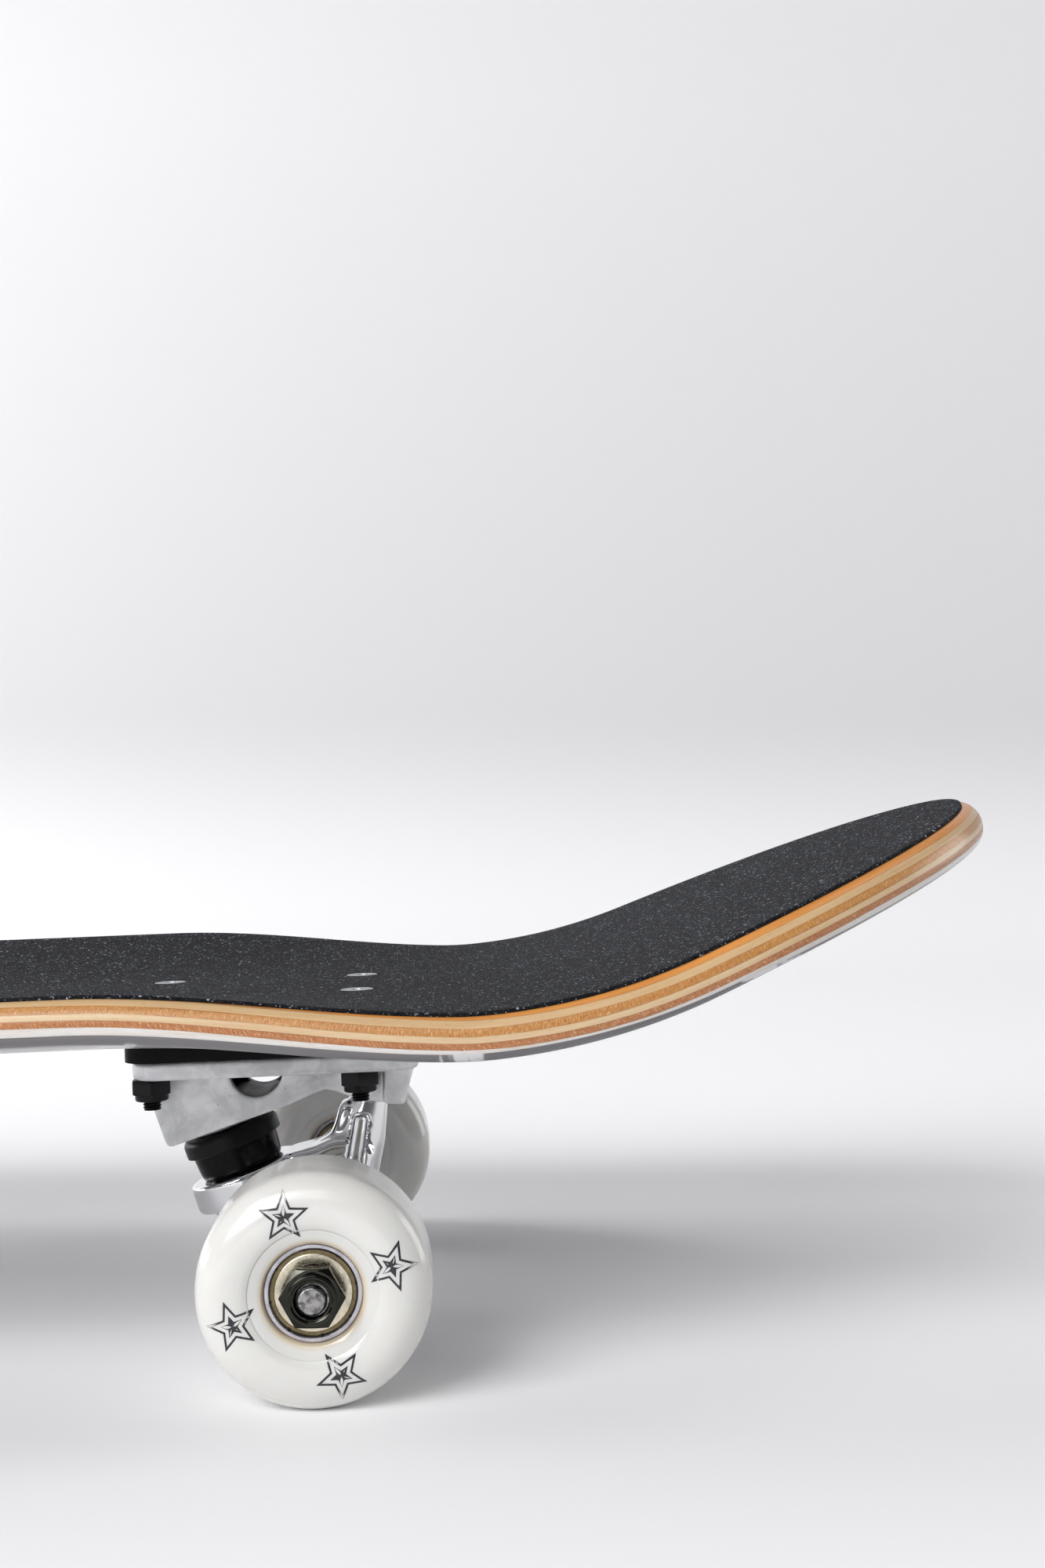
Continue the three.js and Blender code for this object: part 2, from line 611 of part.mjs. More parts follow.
function axleNut() {
  const start = BEARING_END + 0.8;
  const body = joined([hexBar(12.7, start, start + 4.4), rod(5.7, start + 1, start + 5.7, SMALL)]);
  return cut(body, [rod(AXLE_RADIUS + BORE_GAP, start - 1, start + 7, SMALL)]);
}

// ---- assembly ----
const board = new THREE.Group();

function add(parent, name, geometry, look) {
  const mesh = new THREE.Mesh(geometry, look);
  mesh.name = name;
  parent.add(mesh);
  return mesh;
}

function addDeck() {
  const half = DECK_THICKNESS / 2;
  const round = EDGE_ROUNDING;
  const edge = [[round, half], [round * 0.3, half * 0.72], [0, half * 0.25]];
  const rings = [...edge, ...edge.map(([inset, above]) => [inset, -above]).reverse()];
  const gripInset = round - 0.4;
  const gripRings = [[gripInset, half + GRIP_GAP + GRIP_THICKNESS], [gripInset, half + GRIP_GAP]];
  const holes = TRUCK_ENDS.flatMap(({ side }) =>
    BOLT_PLACES.map((place) => boltHole(place).applyMatrix4(truckMatrix(side))),
  );
  add(board, "deck", cut(deckSheet(rings), holes), MAPLE());
  add(board, "grip_tape", cut(deckSheet(gripRings), holes), GRIP());
}

function addBolts(truck, end) {
  for (const place of BOLT_PLACES) {
    add(truck, `${end}_bolt_${place.name}`, upright(deckBolt(), place.x, place.y), STEEL());
    add(truck, `${end}_locknut_${place.name}`, upright(locknut(), place.x, place.y), BLACK_STEEL());
  }
}

function addWheel(truck, name, side) {
  const hub = new THREE.Group();
  hub.position.y = side * WHEEL_MIDDLE;
  if (side < 0) hub.rotation.z = Math.PI;
  truck.add(hub);
  add(hub, `${name}_wheel`, wheel(), URETHANE());
  add(hub, `${name}_outer_bearing_race`, outerRace(1), STEEL());
  add(hub, `${name}_inner_bearing_race`, outerRace(-1), STEEL());
  add(hub, `${name}_bearing_sleeve`, bearingSleeve(), STEEL());
  add(hub, `${name}_axle_nut`, axleNut(), BLACK_STEEL());
}

function addTruck({ name, side }) {
  const truck = new THREE.Group();
  truck.applyMatrix4(truckMatrix(side));
  board.add(truck);
  add(truck, `${name}_riser_pad`, riserPad(), BLACK_PLASTIC());
  add(truck, `${name}_baseplate`, baseplate(), CAST_ALUMINIUM());
  add(truck, `${name}_pivot_cup`, pivotCup(), BLACK_PLASTIC());
  add(truck, `${name}_kingpin`, kingpin(), STEEL());
  add(truck, `${name}_kingpin_nut`, kingpinNut(), STEEL());
  add(truck, `${name}_upper_washer`, upperWasher(), BLACK_STEEL());
  add(truck, `${name}_upper_bushing`, upperBushing(), BUSHING());
  add(truck, `${name}_hanger`, hanger(), POLISHED_ALUMINIUM());
  add(truck, `${name}_lower_bushing`, lowerBushing(), BUSHING());
  add(truck, `${name}_lower_washer`, lowerWasher(), BLACK_STEEL());
  add(truck, `${name}_axle`, axle(), STEEL());
  addBolts(truck, name);
  addWheel(truck, `${name}_left`, side);
  addWheel(truck, `${name}_right`, -side);
}

addDeck();
TRUCK_ENDS.forEach(addTruck);

export default board;
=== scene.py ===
"""A street skateboard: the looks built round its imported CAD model.

Lengths are millimetres until a mesh is made, which turns them into metres. The board lies along x
with its nose towards +x and its left side towards +y. Truck pieces are made in the truck's own
frame, with the axle at the origin and z square to the deck, and then put in place.
"""

import math

import bmesh
import bpy
import numpy as np
from mathutils import Matrix, Vector


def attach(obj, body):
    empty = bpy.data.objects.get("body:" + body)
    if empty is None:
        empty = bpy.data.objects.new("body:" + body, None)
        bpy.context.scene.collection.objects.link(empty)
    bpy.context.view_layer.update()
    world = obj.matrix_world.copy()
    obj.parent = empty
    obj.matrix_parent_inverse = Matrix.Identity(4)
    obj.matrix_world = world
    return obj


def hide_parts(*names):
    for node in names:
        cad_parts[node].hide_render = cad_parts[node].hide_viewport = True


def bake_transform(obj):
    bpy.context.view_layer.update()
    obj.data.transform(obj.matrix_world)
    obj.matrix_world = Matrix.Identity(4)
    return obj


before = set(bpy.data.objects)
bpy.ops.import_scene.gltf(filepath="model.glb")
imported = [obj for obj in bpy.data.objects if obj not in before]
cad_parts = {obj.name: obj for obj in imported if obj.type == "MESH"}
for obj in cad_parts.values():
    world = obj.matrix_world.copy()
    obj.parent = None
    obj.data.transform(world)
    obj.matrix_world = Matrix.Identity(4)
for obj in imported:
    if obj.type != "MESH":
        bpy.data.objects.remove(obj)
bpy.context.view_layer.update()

MM = 0.001
ENDS = {"nose": 1, "tail": -1}
SIDES = {"left": 1, "right": -1}

# ---- the deck's driving dimensions ----
DECK_WIDTH = 203.2
DECK_THICKNESS = 10.0
WHEELBASE = 362.0
NOSE_LENGTH = 168.5
TAIL_LENGTH = 160.0
BOLT_PITCH = 53.98
BOLT_SPREAD = 41.28
WHEEL_RADIUS = 26.5
TRUCK_SLOPE = math.radians(2.07)
KICK_ANGLE = math.radians(23.5)
KICK_RADIUS = 165.0
KICK_START = 30.0
ROCKER_END = 118.0
CONCAVE_DEPTH = 9.5
KICK_CONCAVE = 1.3
CONCAVE_POWER = 1.6
CONCAVE_FADE = (-55.0, 40.0)
FLAT_HALF_WIDTH = 22.0
TAPER_START = -10.0
TAPER_POWER = 2.9
EDGE_ROUNDING = 3.5
GRIP_THICKNESS = 0.8
GRIP_GAP = 0.05

# ---- the truck's driving dimensions, in its own frame ----
AXLE_TO_MIDDLE_PLY = 53.5
OUTER_BOLT_X = 9.1
INNER_BOLT_X = OUTER_BOLT_X - BOLT_PITCH
FLANGE_BOTTOM = 38.3
FLANGE_TOP = 43.1
FLANGE_HALF_WIDTH = 27.5
FLANGE_INNER_X = -49.6
FLANGE_OUTER_X = 24.6
RISER_OVERHANG = 1.7
KINGPIN_LEAN = math.radians(18)
KINGPIN_SEAT = Vector((-28.2, 0, 23.3))
KINGPIN_RADIUS = 4.75
PIVOT_TIP = Vector((12.2, 0, 33))
PIVOT_LEAN = math.radians(15.5)
RING_TOP = 13.4
RING_THICKNESS = 8.0
RING_RADIUS = 15.0
HANGER_END = 68.5
WHEEL_MIDDLE = 82.0
AXLE_RADIUS = 3.97
AXLE_HALF_LENGTH = 101.5

# ---- worked-out places ----
HALF_WHEELBASE = WHEELBASE / 2
LENGTH = WHEELBASE + 2 * BOLT_PITCH + NOSE_LENGTH + TAIL_LENGTH
MIDDLE_X = LENGTH / 2 - NOSE_LENGTH - BOLT_PITCH - HALF_WHEELBASE
BOLT_TO_AXLE = OUTER_BOLT_X * math.cos(TRUCK_SLOPE) - AXLE_TO_MIDDLE_PLY * math.sin(TRUCK_SLOPE)
AXLE_DISTANCE = HALF_WHEELBASE + BOLT_PITCH - BOLT_TO_AXLE
DECK_BOTTOM = AXLE_TO_MIDDLE_PLY - DECK_THICKNESS / 2
GRIP_TOP = AXLE_TO_MIDDLE_PLY + DECK_THICKNESS / 2 + GRIP_GAP + GRIP_THICKNESS


# ---- meshes ----

def mesh_object(name, points, faces, smooth_angle=35):
    """A mesh object from points in millimetres."""
    mesh = bpy.data.meshes.new(name)
    corners = [tuple(c * MM for c in p) for p in points]
    mesh.from_pydata(corners, [], [tuple(map(int, f)) for f in faces])
    mesh.update()
    obj = bpy.data.objects.new(name, mesh)
    bpy.context.scene.collection.objects.link(obj)
    shade(obj, smooth_angle)
    return obj


def shade(obj, angle=35):
    """Smooth shading, with edges sharper than the angle kept sharp."""
    obj.data.polygons.foreach_set("use_smooth", [True] * len(obj.data.polygons))
    obj.data.set_sharp_from_angle(angle=math.radians(angle))


def applied(obj, angle=35):
    """Turns the object's modifiers into its mesh."""
    graph = bpy.context.evaluated_depsgraph_get()
    mesh = bpy.data.meshes.new_from_object(obj.evaluated_get(graph))
    old = obj.data
    obj.modifiers.clear()
    obj.data = mesh
    bpy.data.meshes.remove(old)
    shade(obj, angle)
    return obj


def combine(obj, tools, operation, angle=35):
    """Joins, cuts or intersects the object with each tool, and removes the tools."""
    for tool in tools:
        change = obj.modifiers.new("combine", "BOOLEAN")
        change.operation = operation
        change.solver = "MANIFOLD"
        change.object = tool
    applied(obj, angle)
    for tool in tools:
        bpy.data.objects.remove(tool)
    return obj


def join(objects, name):
    """One object holding all the meshes, with their materials."""
    materials = list(dict.fromkeys(m for obj in objects for m in obj.data.materials))
    mesh = bmesh.new()
    for obj in objects:
        part = obj.data.copy()
        part.transform(obj.matrix_world)
        if part.materials:
            index = materials.index(part.materials[0])
            part.polygons.foreach_set("material_index", [index] * len(part.polygons))
        mesh.from_mesh(part)
        bpy.data.meshes.remove(part)
    result = bpy.data.meshes.new(name)
    mesh.to_mesh(result)
    mesh.free()
    for material in materials:
        result.materials.append(material)
    for obj in objects:
        bpy.data.objects.remove(obj)
    joined = bpy.data.objects.new(name, result)
    bpy.context.scene.collection.objects.link(joined)
    shade(joined)
    return joined


def cast(obj, voxel, passes, angle=180):
    """Melts joined shapes into one skin with soft inner corners, as a casting has."""
    remesh = obj.modifiers.new("remesh", "REMESH")
    remesh.mode = "VOXEL"
    remesh.voxel_size = voxel * MM
    smooth = obj.modifiers.new("smooth", "SMOOTH")
    smooth.factor = 0.5
    smooth.iterations = passes
    return applied(obj, angle)


def bevel(obj, width, segments=2, limit=30):
    change = obj.modifiers.new("bevel", "BEVEL")
    change.width = width * MM
    change.segments = segments
    change.angle_limit = math.radians(limit)
    return applied(obj)


def rounded(points):
    """A turned profile whose corners may be rounded: a point is (r, y) or (r, y, radius)."""
    smooth = []
    for i, point in enumerate(points):
        here = Vector(point[:2])
        if len(point) == 2 or i in (0, len(points) - 1):
            smooth.append(here)
            continue
        before, after = Vector(points[i - 1][:2]) - here, Vector(points[i + 1][:2]) - here
        reach = min(point[2], before.length / 2, after.length / 2)
        start, end = here + before.normalized() * reach, here + after.normalized() * reach
        for t in np.linspace(0, 1, 5):
            smooth.append(start * (1 - t) ** 2 + here * 2 * t * (1 - t) + end * t ** 2)
    return [(p.x, p.y) for p in smooth]


def curve_through(points, steps=6):
    """Points on a smooth curve through the given ones."""
    given = [np.array(point, float) for point in points]
    line = [2 * given[0] - given[1], *given, 2 * given[-1] - given[-2]]
    curve = []
    for a, b, c, d in zip(line, line[1:], line[2:], line[3:]):
        for t in np.arange(steps) / steps:
            curve.append(0.5 * (2 * b + (c - a) * t + (2 * a - 5 * b + 4 * c - d) * t ** 2
                                + (3 * b - a - 3 * c + d) * t ** 3))
    curve.append(given[-1])
    return [tuple(p) for p in curve]


def turned(name, profile, segments=64, closed=False, angle=35):
    """A profile of (radius, y) turned about the y axis. A closed one comes back to its start."""
    profile = rounded(profile)
    angles = np.arange(segments) * 2 * math.pi / segments
    points, rings = [], []
    for r, y in profile:
        if r < 1e-6:
            rings.append([len(points)])
            points.append((0, y, 0))
        else:
            rings.append(list(range(len(points), len(points) + segments)))
            points.extend((r * math.sin(a), y, r * math.cos(a)) for a in angles)
    faces = []
    following = rings[1:] + rings[:1] if closed else rings[1:]
    for low, high in zip(rings, following):
        for i in range(segments):
            j = (i + 1) % segments
            quad = [low[i % len(low)], low[j % len(low)], high[j % len(high)], high[i % len(high)]]
            unique = list(dict.fromkeys(quad))
            if len(unique) > 2:
                faces.append(unique)
    obj = mesh_object(name, points, faces, angle)
    face_outwards(obj)
    return obj


def face_outwards(obj):
    mesh = bmesh.new()
    mesh.from_mesh(obj.data)
    bmesh.ops.recalc_face_normals(mesh, faces=mesh.faces)
    mesh.to_mesh(obj.data)
    mesh.free()


def prism(name, outline, low, high, axis="y"):
    """An outline raised along y (outline in x, z) or along z (outline in x, y)."""
    count = len(outline)
    level = {"y": lambda p, h: (p[0], h, p[1]), "z": lambda p, h: (p[0], p[1], h)}[axis]
    points = [level(p, h) for h in (low, high) for p in outline]
    sides = [(i, (i + 1) % count, count + (i + 1) % count, count + i) for i in range(count)]
    obj = mesh_object(name, points, [range(count), range(count, 2 * count), *sides])
    face_outwards(obj)
    return obj


def rod(name, radius, start, end, segments=64):
    return turned(name, [(0, start), (radius, start), (radius, end), (0, end)], segments)


def mirrored(profile):
    """A turned profile's other half, from its far end back to the middle."""
    return [(p[0], -p[1], *p[2:]) for p in profile][::-1]


def hexagon(radius):
    angles = [2 * math.pi * i / 6 for i in range(6)]
    return [(radius * math.cos(a), radius * math.sin(a)) for a in angles]


def rounded_rectangle(x0, x1, half_width, radius, steps=10):
    corners = [(x1, half_width, 0), (x0, half_width, 1), (x0, -half_width, 2), (x1, -half_width, 3)]
    outline = []
    for x, y, turn in corners:
        centre = (x - math.copysign(radius, x - (x0 + x1) / 2), y - math.copysign(radius, y))
        for step in range(steps + 1):
            a = (turn + step / steps) * math.pi / 2
            outline.append((centre[0] + radius * math.cos(a), centre[1] + radius * math.sin(a)))
    return outline


def moved(obj, matrix):
    """Moves the mesh itself. The matrix is in millimetres."""
    scaled = matrix.copy()
    scaled.translation *= MM
    obj.data.transform(scaled)
    return obj


def copy_of(obj, name):
    twin = bpy.data.objects.new(name, obj.data)
    bpy.context.scene.collection.objects.link(twin)
    return twin


# ---- places: each turns a piece made about the y axis into the truck's frame ----

def along(point, direction):
    turn = Vector((0, 1, 0)).rotation_difference(direction)
    return Matrix.Translation(point) @ turn.to_matrix().to_4x4()


KINGPIN_DOWN = Vector((math.sin(KINGPIN_LEAN), 0, -math.cos(KINGPIN_LEAN)))
PIVOT_UP = Vector((math.sin(PIVOT_LEAN), 0, math.cos(PIVOT_LEAN)))
ON_KINGPIN = along(KINGPIN_SEAT, KINGPIN_DOWN)
ON_PIVOT = along(PIVOT_TIP, PIVOT_UP)
UPRIGHT = along(Vector((0, 0, 0)), Vector((0, 0, 1)))


def truck_matrix(side, slope=TRUCK_SLOPE):
    """The truck's frame in the board's frame, in metres. The wheels' has no slope."""
    place = Matrix.Translation(Vector((MIDDLE_X + side * AXLE_DISTANCE, 0, WHEEL_RADIUS)) * MM)
    heading = Matrix.Rotation(0 if side > 0 else math.pi, 4, "Z")
    return place @ heading @ Matrix.Rotation(-slope, 4, "Y")


BOLTS = {
    "outer_left": (OUTER_BOLT_X, BOLT_SPREAD / 2),
    "outer_right": (OUTER_BOLT_X, -BOLT_SPREAD / 2),
    "inner_left": (INNER_BOLT_X, BOLT_SPREAD / 2),
    "inner_right": (INNER_BOLT_X, -BOLT_SPREAD / 2),
}


def at_each_bolt(profile, segments):
    """A turned tool at each of one truck's four bolts."""
    places = [Matrix.Translation((x, y, 0)) @ UPRIGHT for x, y in BOLTS.values()]
    return [moved(turned("hole", profile, segments), place) for place in places]


def bolt_holes(radius):
    return at_each_bolt([(0, 30), (radius, 30), (radius, 60), (0, 60)], 32)


# ---- materials ----

class Look:
    """A procedural material: short names for the nodes that the materials here are made of."""

    def __init__(self, name, color=(0.5, 0.5, 0.5), rough=0.5, metal=0.0, **sockets):
        self.material = bpy.data.materials.new(name)
        self.material.use_nodes = True
        self.nodes = self.material.node_tree.nodes
        self.links = self.material.node_tree.links
        self.shader = self.nodes["Principled BSDF"]
        self.set("Base Color", (*color, 1))
        self.set("Roughness", rough)
        self.set("Metallic", metal)
        for socket, value in sockets.items():
            self.set(socket.replace("_", " "), value)

    def set(self, socket, value):
        """Sets one of the shader's sockets to a number, a colour or another node's output."""
        target = self.shader.inputs[socket]
        if isinstance(value, bpy.types.NodeSocket):
            self.links.new(value, target)
        else:
            target.default_value = value

    def node(self, kind, inputs=(), **settings):
        node = self.nodes.new(kind)
        for key, value in settings.items():
            setattr(node, key, value)
        for key, value in dict(inputs).items():
            if isinstance(value, bpy.types.NodeSocket):
                self.links.new(value, node.inputs[key])
            else:
                node.inputs[key].default_value = value
        return node

    def place(self, scale=(1, 1, 1), source="Object", turn=(0, 0, 0)):
        """The point on the surface, in metres of the piece's own frame, or its UV."""
        coordinates = self.node("ShaderNodeTexCoord").outputs[source]
        inputs = {"Vector": coordinates, "Scale": scale, "Rotation": turn}
        return self.node("ShaderNodeMapping", inputs).outputs[0]

    def noise(self, scale, detail=3.0, rough=0.5, at=None, stretch=(1, 1, 1), distortion=0.0):
        inputs = {"Vector": at or self.place(stretch), "Scale": scale, "Detail": detail,
                  "Roughness": rough, "Distortion": distortion}
        return self.node("ShaderNodeTexNoise", inputs).outputs["Fac"]

    def cells(self, scale, at=None):
        inputs = {"Vector": at or self.place(), "Scale": scale}
        return self.node("ShaderNodeTexVoronoi", inputs).outputs

    def math(self, operation, a, b=0.0):
        return self.node("ShaderNodeMath", {0: a, 1: b}, operation=operation).outputs[0]

    def times(self, first, *others):
        for other in others:
            first = self.math("MULTIPLY", first, other)
        return first

    def less(self, a, b):
        return self.math("SUBTRACT", a, b)

    def size(self, value):
        return self.math("ABSOLUTE", value)

    def span(self, value, low, high, to_low=0.0, to_high=1.0):
        """Stretches low..high to the new range, smoothly and clamped."""
        inputs = {"Value": value, "From Min": low, "From Max": high, "To Min": to_low, "To Max": to_high}
        node = self.node("ShaderNodeMapRange", inputs, interpolation_type="SMOOTHSTEP")
        return node.outputs[0]

    def mix(self, share, a, b, blend="MIX"):
        """Mixes two colours."""
        node = self.node("ShaderNodeMix", data_type="RGBA", blend_type=blend)
        for key, value in {0: share, 6: a, 7: b}.items():
            if isinstance(value, bpy.types.NodeSocket):
                self.links.new(value, node.inputs[key])
            elif key == 0:
                node.inputs[key].default_value = value
            else:
                node.inputs[key].default_value = (*value, 1)
        return node.outputs[2]

    def bands(self, value, edges, colors):
        """Plain bands of colour, each from its own edge up. The edges may pass 1, so they're scaled."""
        scale = 0.8
        node = self.node("ShaderNodeValToRGB", {"Fac": self.times(value, scale)})
        node.color_ramp.interpolation = "CONSTANT"
        elements = node.color_ramp.elements
        while len(elements) < len(edges):
            elements.new(0.5)
        for element, edge, color in zip(elements, edges, colors):
            element.position = edge * scale
            element.color = (*color, 1)
        return node.outputs["Color"]

    def split(self, vector):
        return self.node("ShaderNodeSeparateXYZ", {"Vector": vector}).outputs

    def bump(self, height, distance, strength=1.0, under=None):
        """Raises the surface by height times distance, in millimetres, on top of another bump."""
        inputs = {"Height": height, "Distance": distance * MM, "Strength": strength}
        if under is not None:
            inputs["Normal"] = under
        normal = self.node("ShaderNodeBump", inputs).outputs[0]
        self.set("Normal", normal)
        return normal


def deck_print(look):
    """The underside's colour: soft greys in a fine dot screen, with torn pale patches."""
    tone = look.noise(7, 4, 0.55, distortion=0.6)
    patches = look.noise(9, 5, 0.55, distortion=1.6)
    x, y, _ = look.split(look.place((3400, 3400, 0), turn=(0, 0, math.radians(45))))
    wave = look.times(*(look.math("SINE", look.times(axis, math.pi)) for axis in (x, y)))
    threshold = look.span(tone, 0.3, 0.7, 0.2, 0.7)
    dots = look.span(look.less(look.size(wave), threshold), -0.06, 0.06)
    grey = look.mix(dots, (0.19, 0.182, 0.19), (0.07, 0.066, 0.07))
    streaks = look.noise(30, 4, 0.6, at=look.place((1, 4, 1), turn=(0, 0, 0.5)))
    torn = look.times(look.span(patches, 0.615, 0.63), look.span(streaks, 0.4, 0.5))
    return look.mix(torn, grey, (0.66, 0.66, 0.68))


def maple_and_print():
    """The deck: seven plies on its rim and a printed underside. In the UV, v is the height in the
    deck, from 0 to 1, and u the way along the rim in metres."""
    look = Look("maple_and_print", rough=0.42, Coat_Weight=0.3, Coat_Roughness=0.2)
    _, v, _ = look.split(look.place(source="UV"))
    x, _, _ = look.split(look.place())
    drift = look.span(look.size(x), 0.13, 0.36, 0.0, 0.17)
    wander = look.times(look.less(look.noise(11, 2, at=look.place((1, 0, 0), "UV")), 0.5), 0.05)
    height = look.math("ADD", look.math("ADD", v, drift), wander)
    edges = [0.0, 0.38, 0.525, 0.675, 0.85, 1.02]
    colors = [(0.70, 0.69, 0.68), (0.44, 0.18, 0.065), (0.67, 0.50, 0.31), (0.52, 0.25, 0.075),
              (0.62, 0.43, 0.235), (0.64, 0.27, 0.065)]
    plies = look.bands(height, edges, colors)
    cross = look.bands(height, edges, [(k, k, k) for k in (0, 1, 0, 1, 0, 0)])
    fibres = look.noise(1, 6, 0.65, at=look.place((38, 9, 1), "UV"))
    fine = look.noise(1, 4, 0.7, at=look.place((420, 30, 1), "UV"))
    slant = look.place((1, 0.01, 1), "UV", (0, 0, -0.7))
    stretched = look.node("ShaderNodeMapping", {"Vector": slant, "Scale": (4200, 640, 1)}).outputs[0]
    flecks = look.noise(1, 3, 0.6, at=stretched)
    wood = look.mix(look.span(fibres, 0.35, 0.7, 0.0, 0.4), plies, (0.80, 0.60, 0.40), "MULTIPLY")
    pale_fleck = look.times(cross, look.span(flecks, 0.54, 0.68, 0.0, 0.5))
    wood = look.mix(pale_fleck, wood, (0.84, 0.60, 0.36))
    dark_fleck = look.times(cross, look.span(flecks, 0.46, 0.34, 0.0, 0.6))
    wood = look.mix(dark_fleck, wood, (0.50, 0.27, 0.12), "MULTIPLY")
    wood = look.mix(look.span(fine, 0.5, 0.75, 0.0, 0.35), wood, (0.62, 0.40, 0.22), "MULTIPLY")
    lines = None
    for edge in edges[1:]:
        gap = look.size(look.less(height, edge))
        line = look.span(gap, 0.004, 0.016, 1.0, 0.0)
        lines = line if lines is None else look.math("MAXIMUM", lines, line)
    broken = look.times(lines, look.span(fibres, 0.4, 0.6, 0.15, 0.7))
    wood = look.mix(broken, wood, (0.30, 0.13, 0.04))
    rim_end = look.span(look.size(x), 0.27, 0.36, 0.195, 0.075)
    below = look.span(look.less(v, rim_end), -0.01, 0.01, 1.0, 0.0)
    look.set("Base Color", look.mix(below, wood, deck_print(look)))
    look.set("Roughness", look.mix(below, look.span(fine, 0.3, 0.8, 0.34, 0.52), (0.2, 0.2, 0.2)))
    grain = look.bump(fine, 0.05, 0.5)
    grooves = look.bump(look.less(1.0, lines), 0.05, 0.4, grain)
    look.bump(look.noise(60, 3, at=look.place((0.3, 1, 1))), 0.06, 0.35, grooves)
    return look.material


def grip_grit():
    """Black abrasive sheet: packed grains, with a painted glint, a pale base colour, on many of them."""
    look = Look("grip_grit", rough=0.8, Specular_IOR_Level=0.22)
    at = look.place()
    coarse, small = look.cells(1150, at), look.cells(2300, at)
    clumps = look.noise(420, 4, 0.65, at=at)
    worn = look.noise(12, 3, 0.5, at=at)
    dark = look.mix(look.span(clumps, 0.38, 0.62), (0.0013, 0.0014, 0.0022), (0.008, 0.0084, 0.012))
    dark = look.mix(look.span(worn, 0.35, 0.75, 0.0, 0.25), dark, (0.015, 0.0155, 0.020))
    painted_glints = []
    for grains, share in ((coarse, 0.86), (small, 0.76)):
        chance = look.split(grains["Color"])
        facet = look.span(grains["Distance"], 0.3, 0.5, 1.0, 0.0)
        picked = look.times(look.span(chance[0], share, share + 0.05), facet)
        painted_glints.append(look.times(picked, look.math("POWER", chance[1], 2.2)))
    painted_glint = look.math("MAXIMUM", *painted_glints)
    # Painted highlight: many grains get a pale base colour that stands in for their facets' sparkle;
    # their lower roughness is real.
    look.set("Base Color", look.mix(painted_glint, dark, (0.38, 0.41, 0.48)))
    look.set("Roughness", look.span(painted_glint, 0.0, 1.0, 0.85, 0.35))
    lumps = look.bump(look.less(1.0, coarse["Distance"]), 0.4, 0.9)
    fine = look.bump(look.less(1.0, small["Distance"]), 0.16, 0.7, lumps)
    look.bump(clumps, 0.3, 0.4, fine)
    return look.material


def wheel_urethane():
    """Ivory urethane: soft, slightly deep and glossy, with an amber painted reflection of the bearing
    round the hub.
    """
    look = Look("wheel_urethane", (0.85, 0.84, 0.81), 0.2, Coat_Weight=0.5, Coat_Roughness=0.08,
                Subsurface_Weight=0.35, Subsurface_Scale=0.004, Subsurface_Radius=(1.0, 0.75, 0.5))
    x, y, z = look.split(look.place())
    radius = look.math("SQRT", look.math("ADD", look.times(x, x), look.times(z, z)))
    cloud = look.mix(look.span(look.noise(55, 3), 0.3, 0.7), (0.73, 0.725, 0.70), (0.69, 0.685, 0.66))
    # Painted reflection: an amber ring next to the bearing stands in for the bearing mirrored in the
    # urethane.
    painted_bearing_reflection = look.mix(look.span(radius, 0.0111, 0.0127, 0.55, 0.0), cloud, (0.66, 0.47, 0.22))
    tread = look.span(radius, 0.0256, 0.0264)
    dust = look.times(tread, look.span(look.noise(180, 4, 0.6), 0.45, 0.75, 0.0, 0.35))
    look.set("Base Color", look.mix(dust, painted_bearing_reflection, (0.50, 0.47, 0.42)))
    scuffs = look.noise(500, 4, 0.6, stretch=(1, 0.15, 1))
    scuffed = look.span(scuffs, 0.3, 0.8, 0.15, 0.27)
    look.set("Roughness", look.math("ADD", look.times(tread, 0.22), scuffed))
    mark_spacing = 0.0007
    turning = look.math("SINE", look.times(y, 2 * math.pi / mark_spacing))
    lathe_marks = look.bump(look.times(turning, tread), 0.012, 0.6)
    look.bump(look.noise(900, 3), 0.01, 0.3, lathe_marks)
    return look.material


def printed_ink():
    look = Look("printed_ink", (0.012, 0.011, 0.014), 0.3, Coat_Weight=0.3)
    speckle = look.noise(2500, 3)
    worn = look.span(speckle, 0.35, 0.75)
    look.set("Base Color", look.mix(worn, (0.008, 0.007, 0.012), (0.035, 0.03, 0.04)))
    look.set("Roughness", look.span(speckle, 0.3, 0.7, 0.24, 0.4))
    look.bump(speckle, 0.01, 0.4)
    return look.material


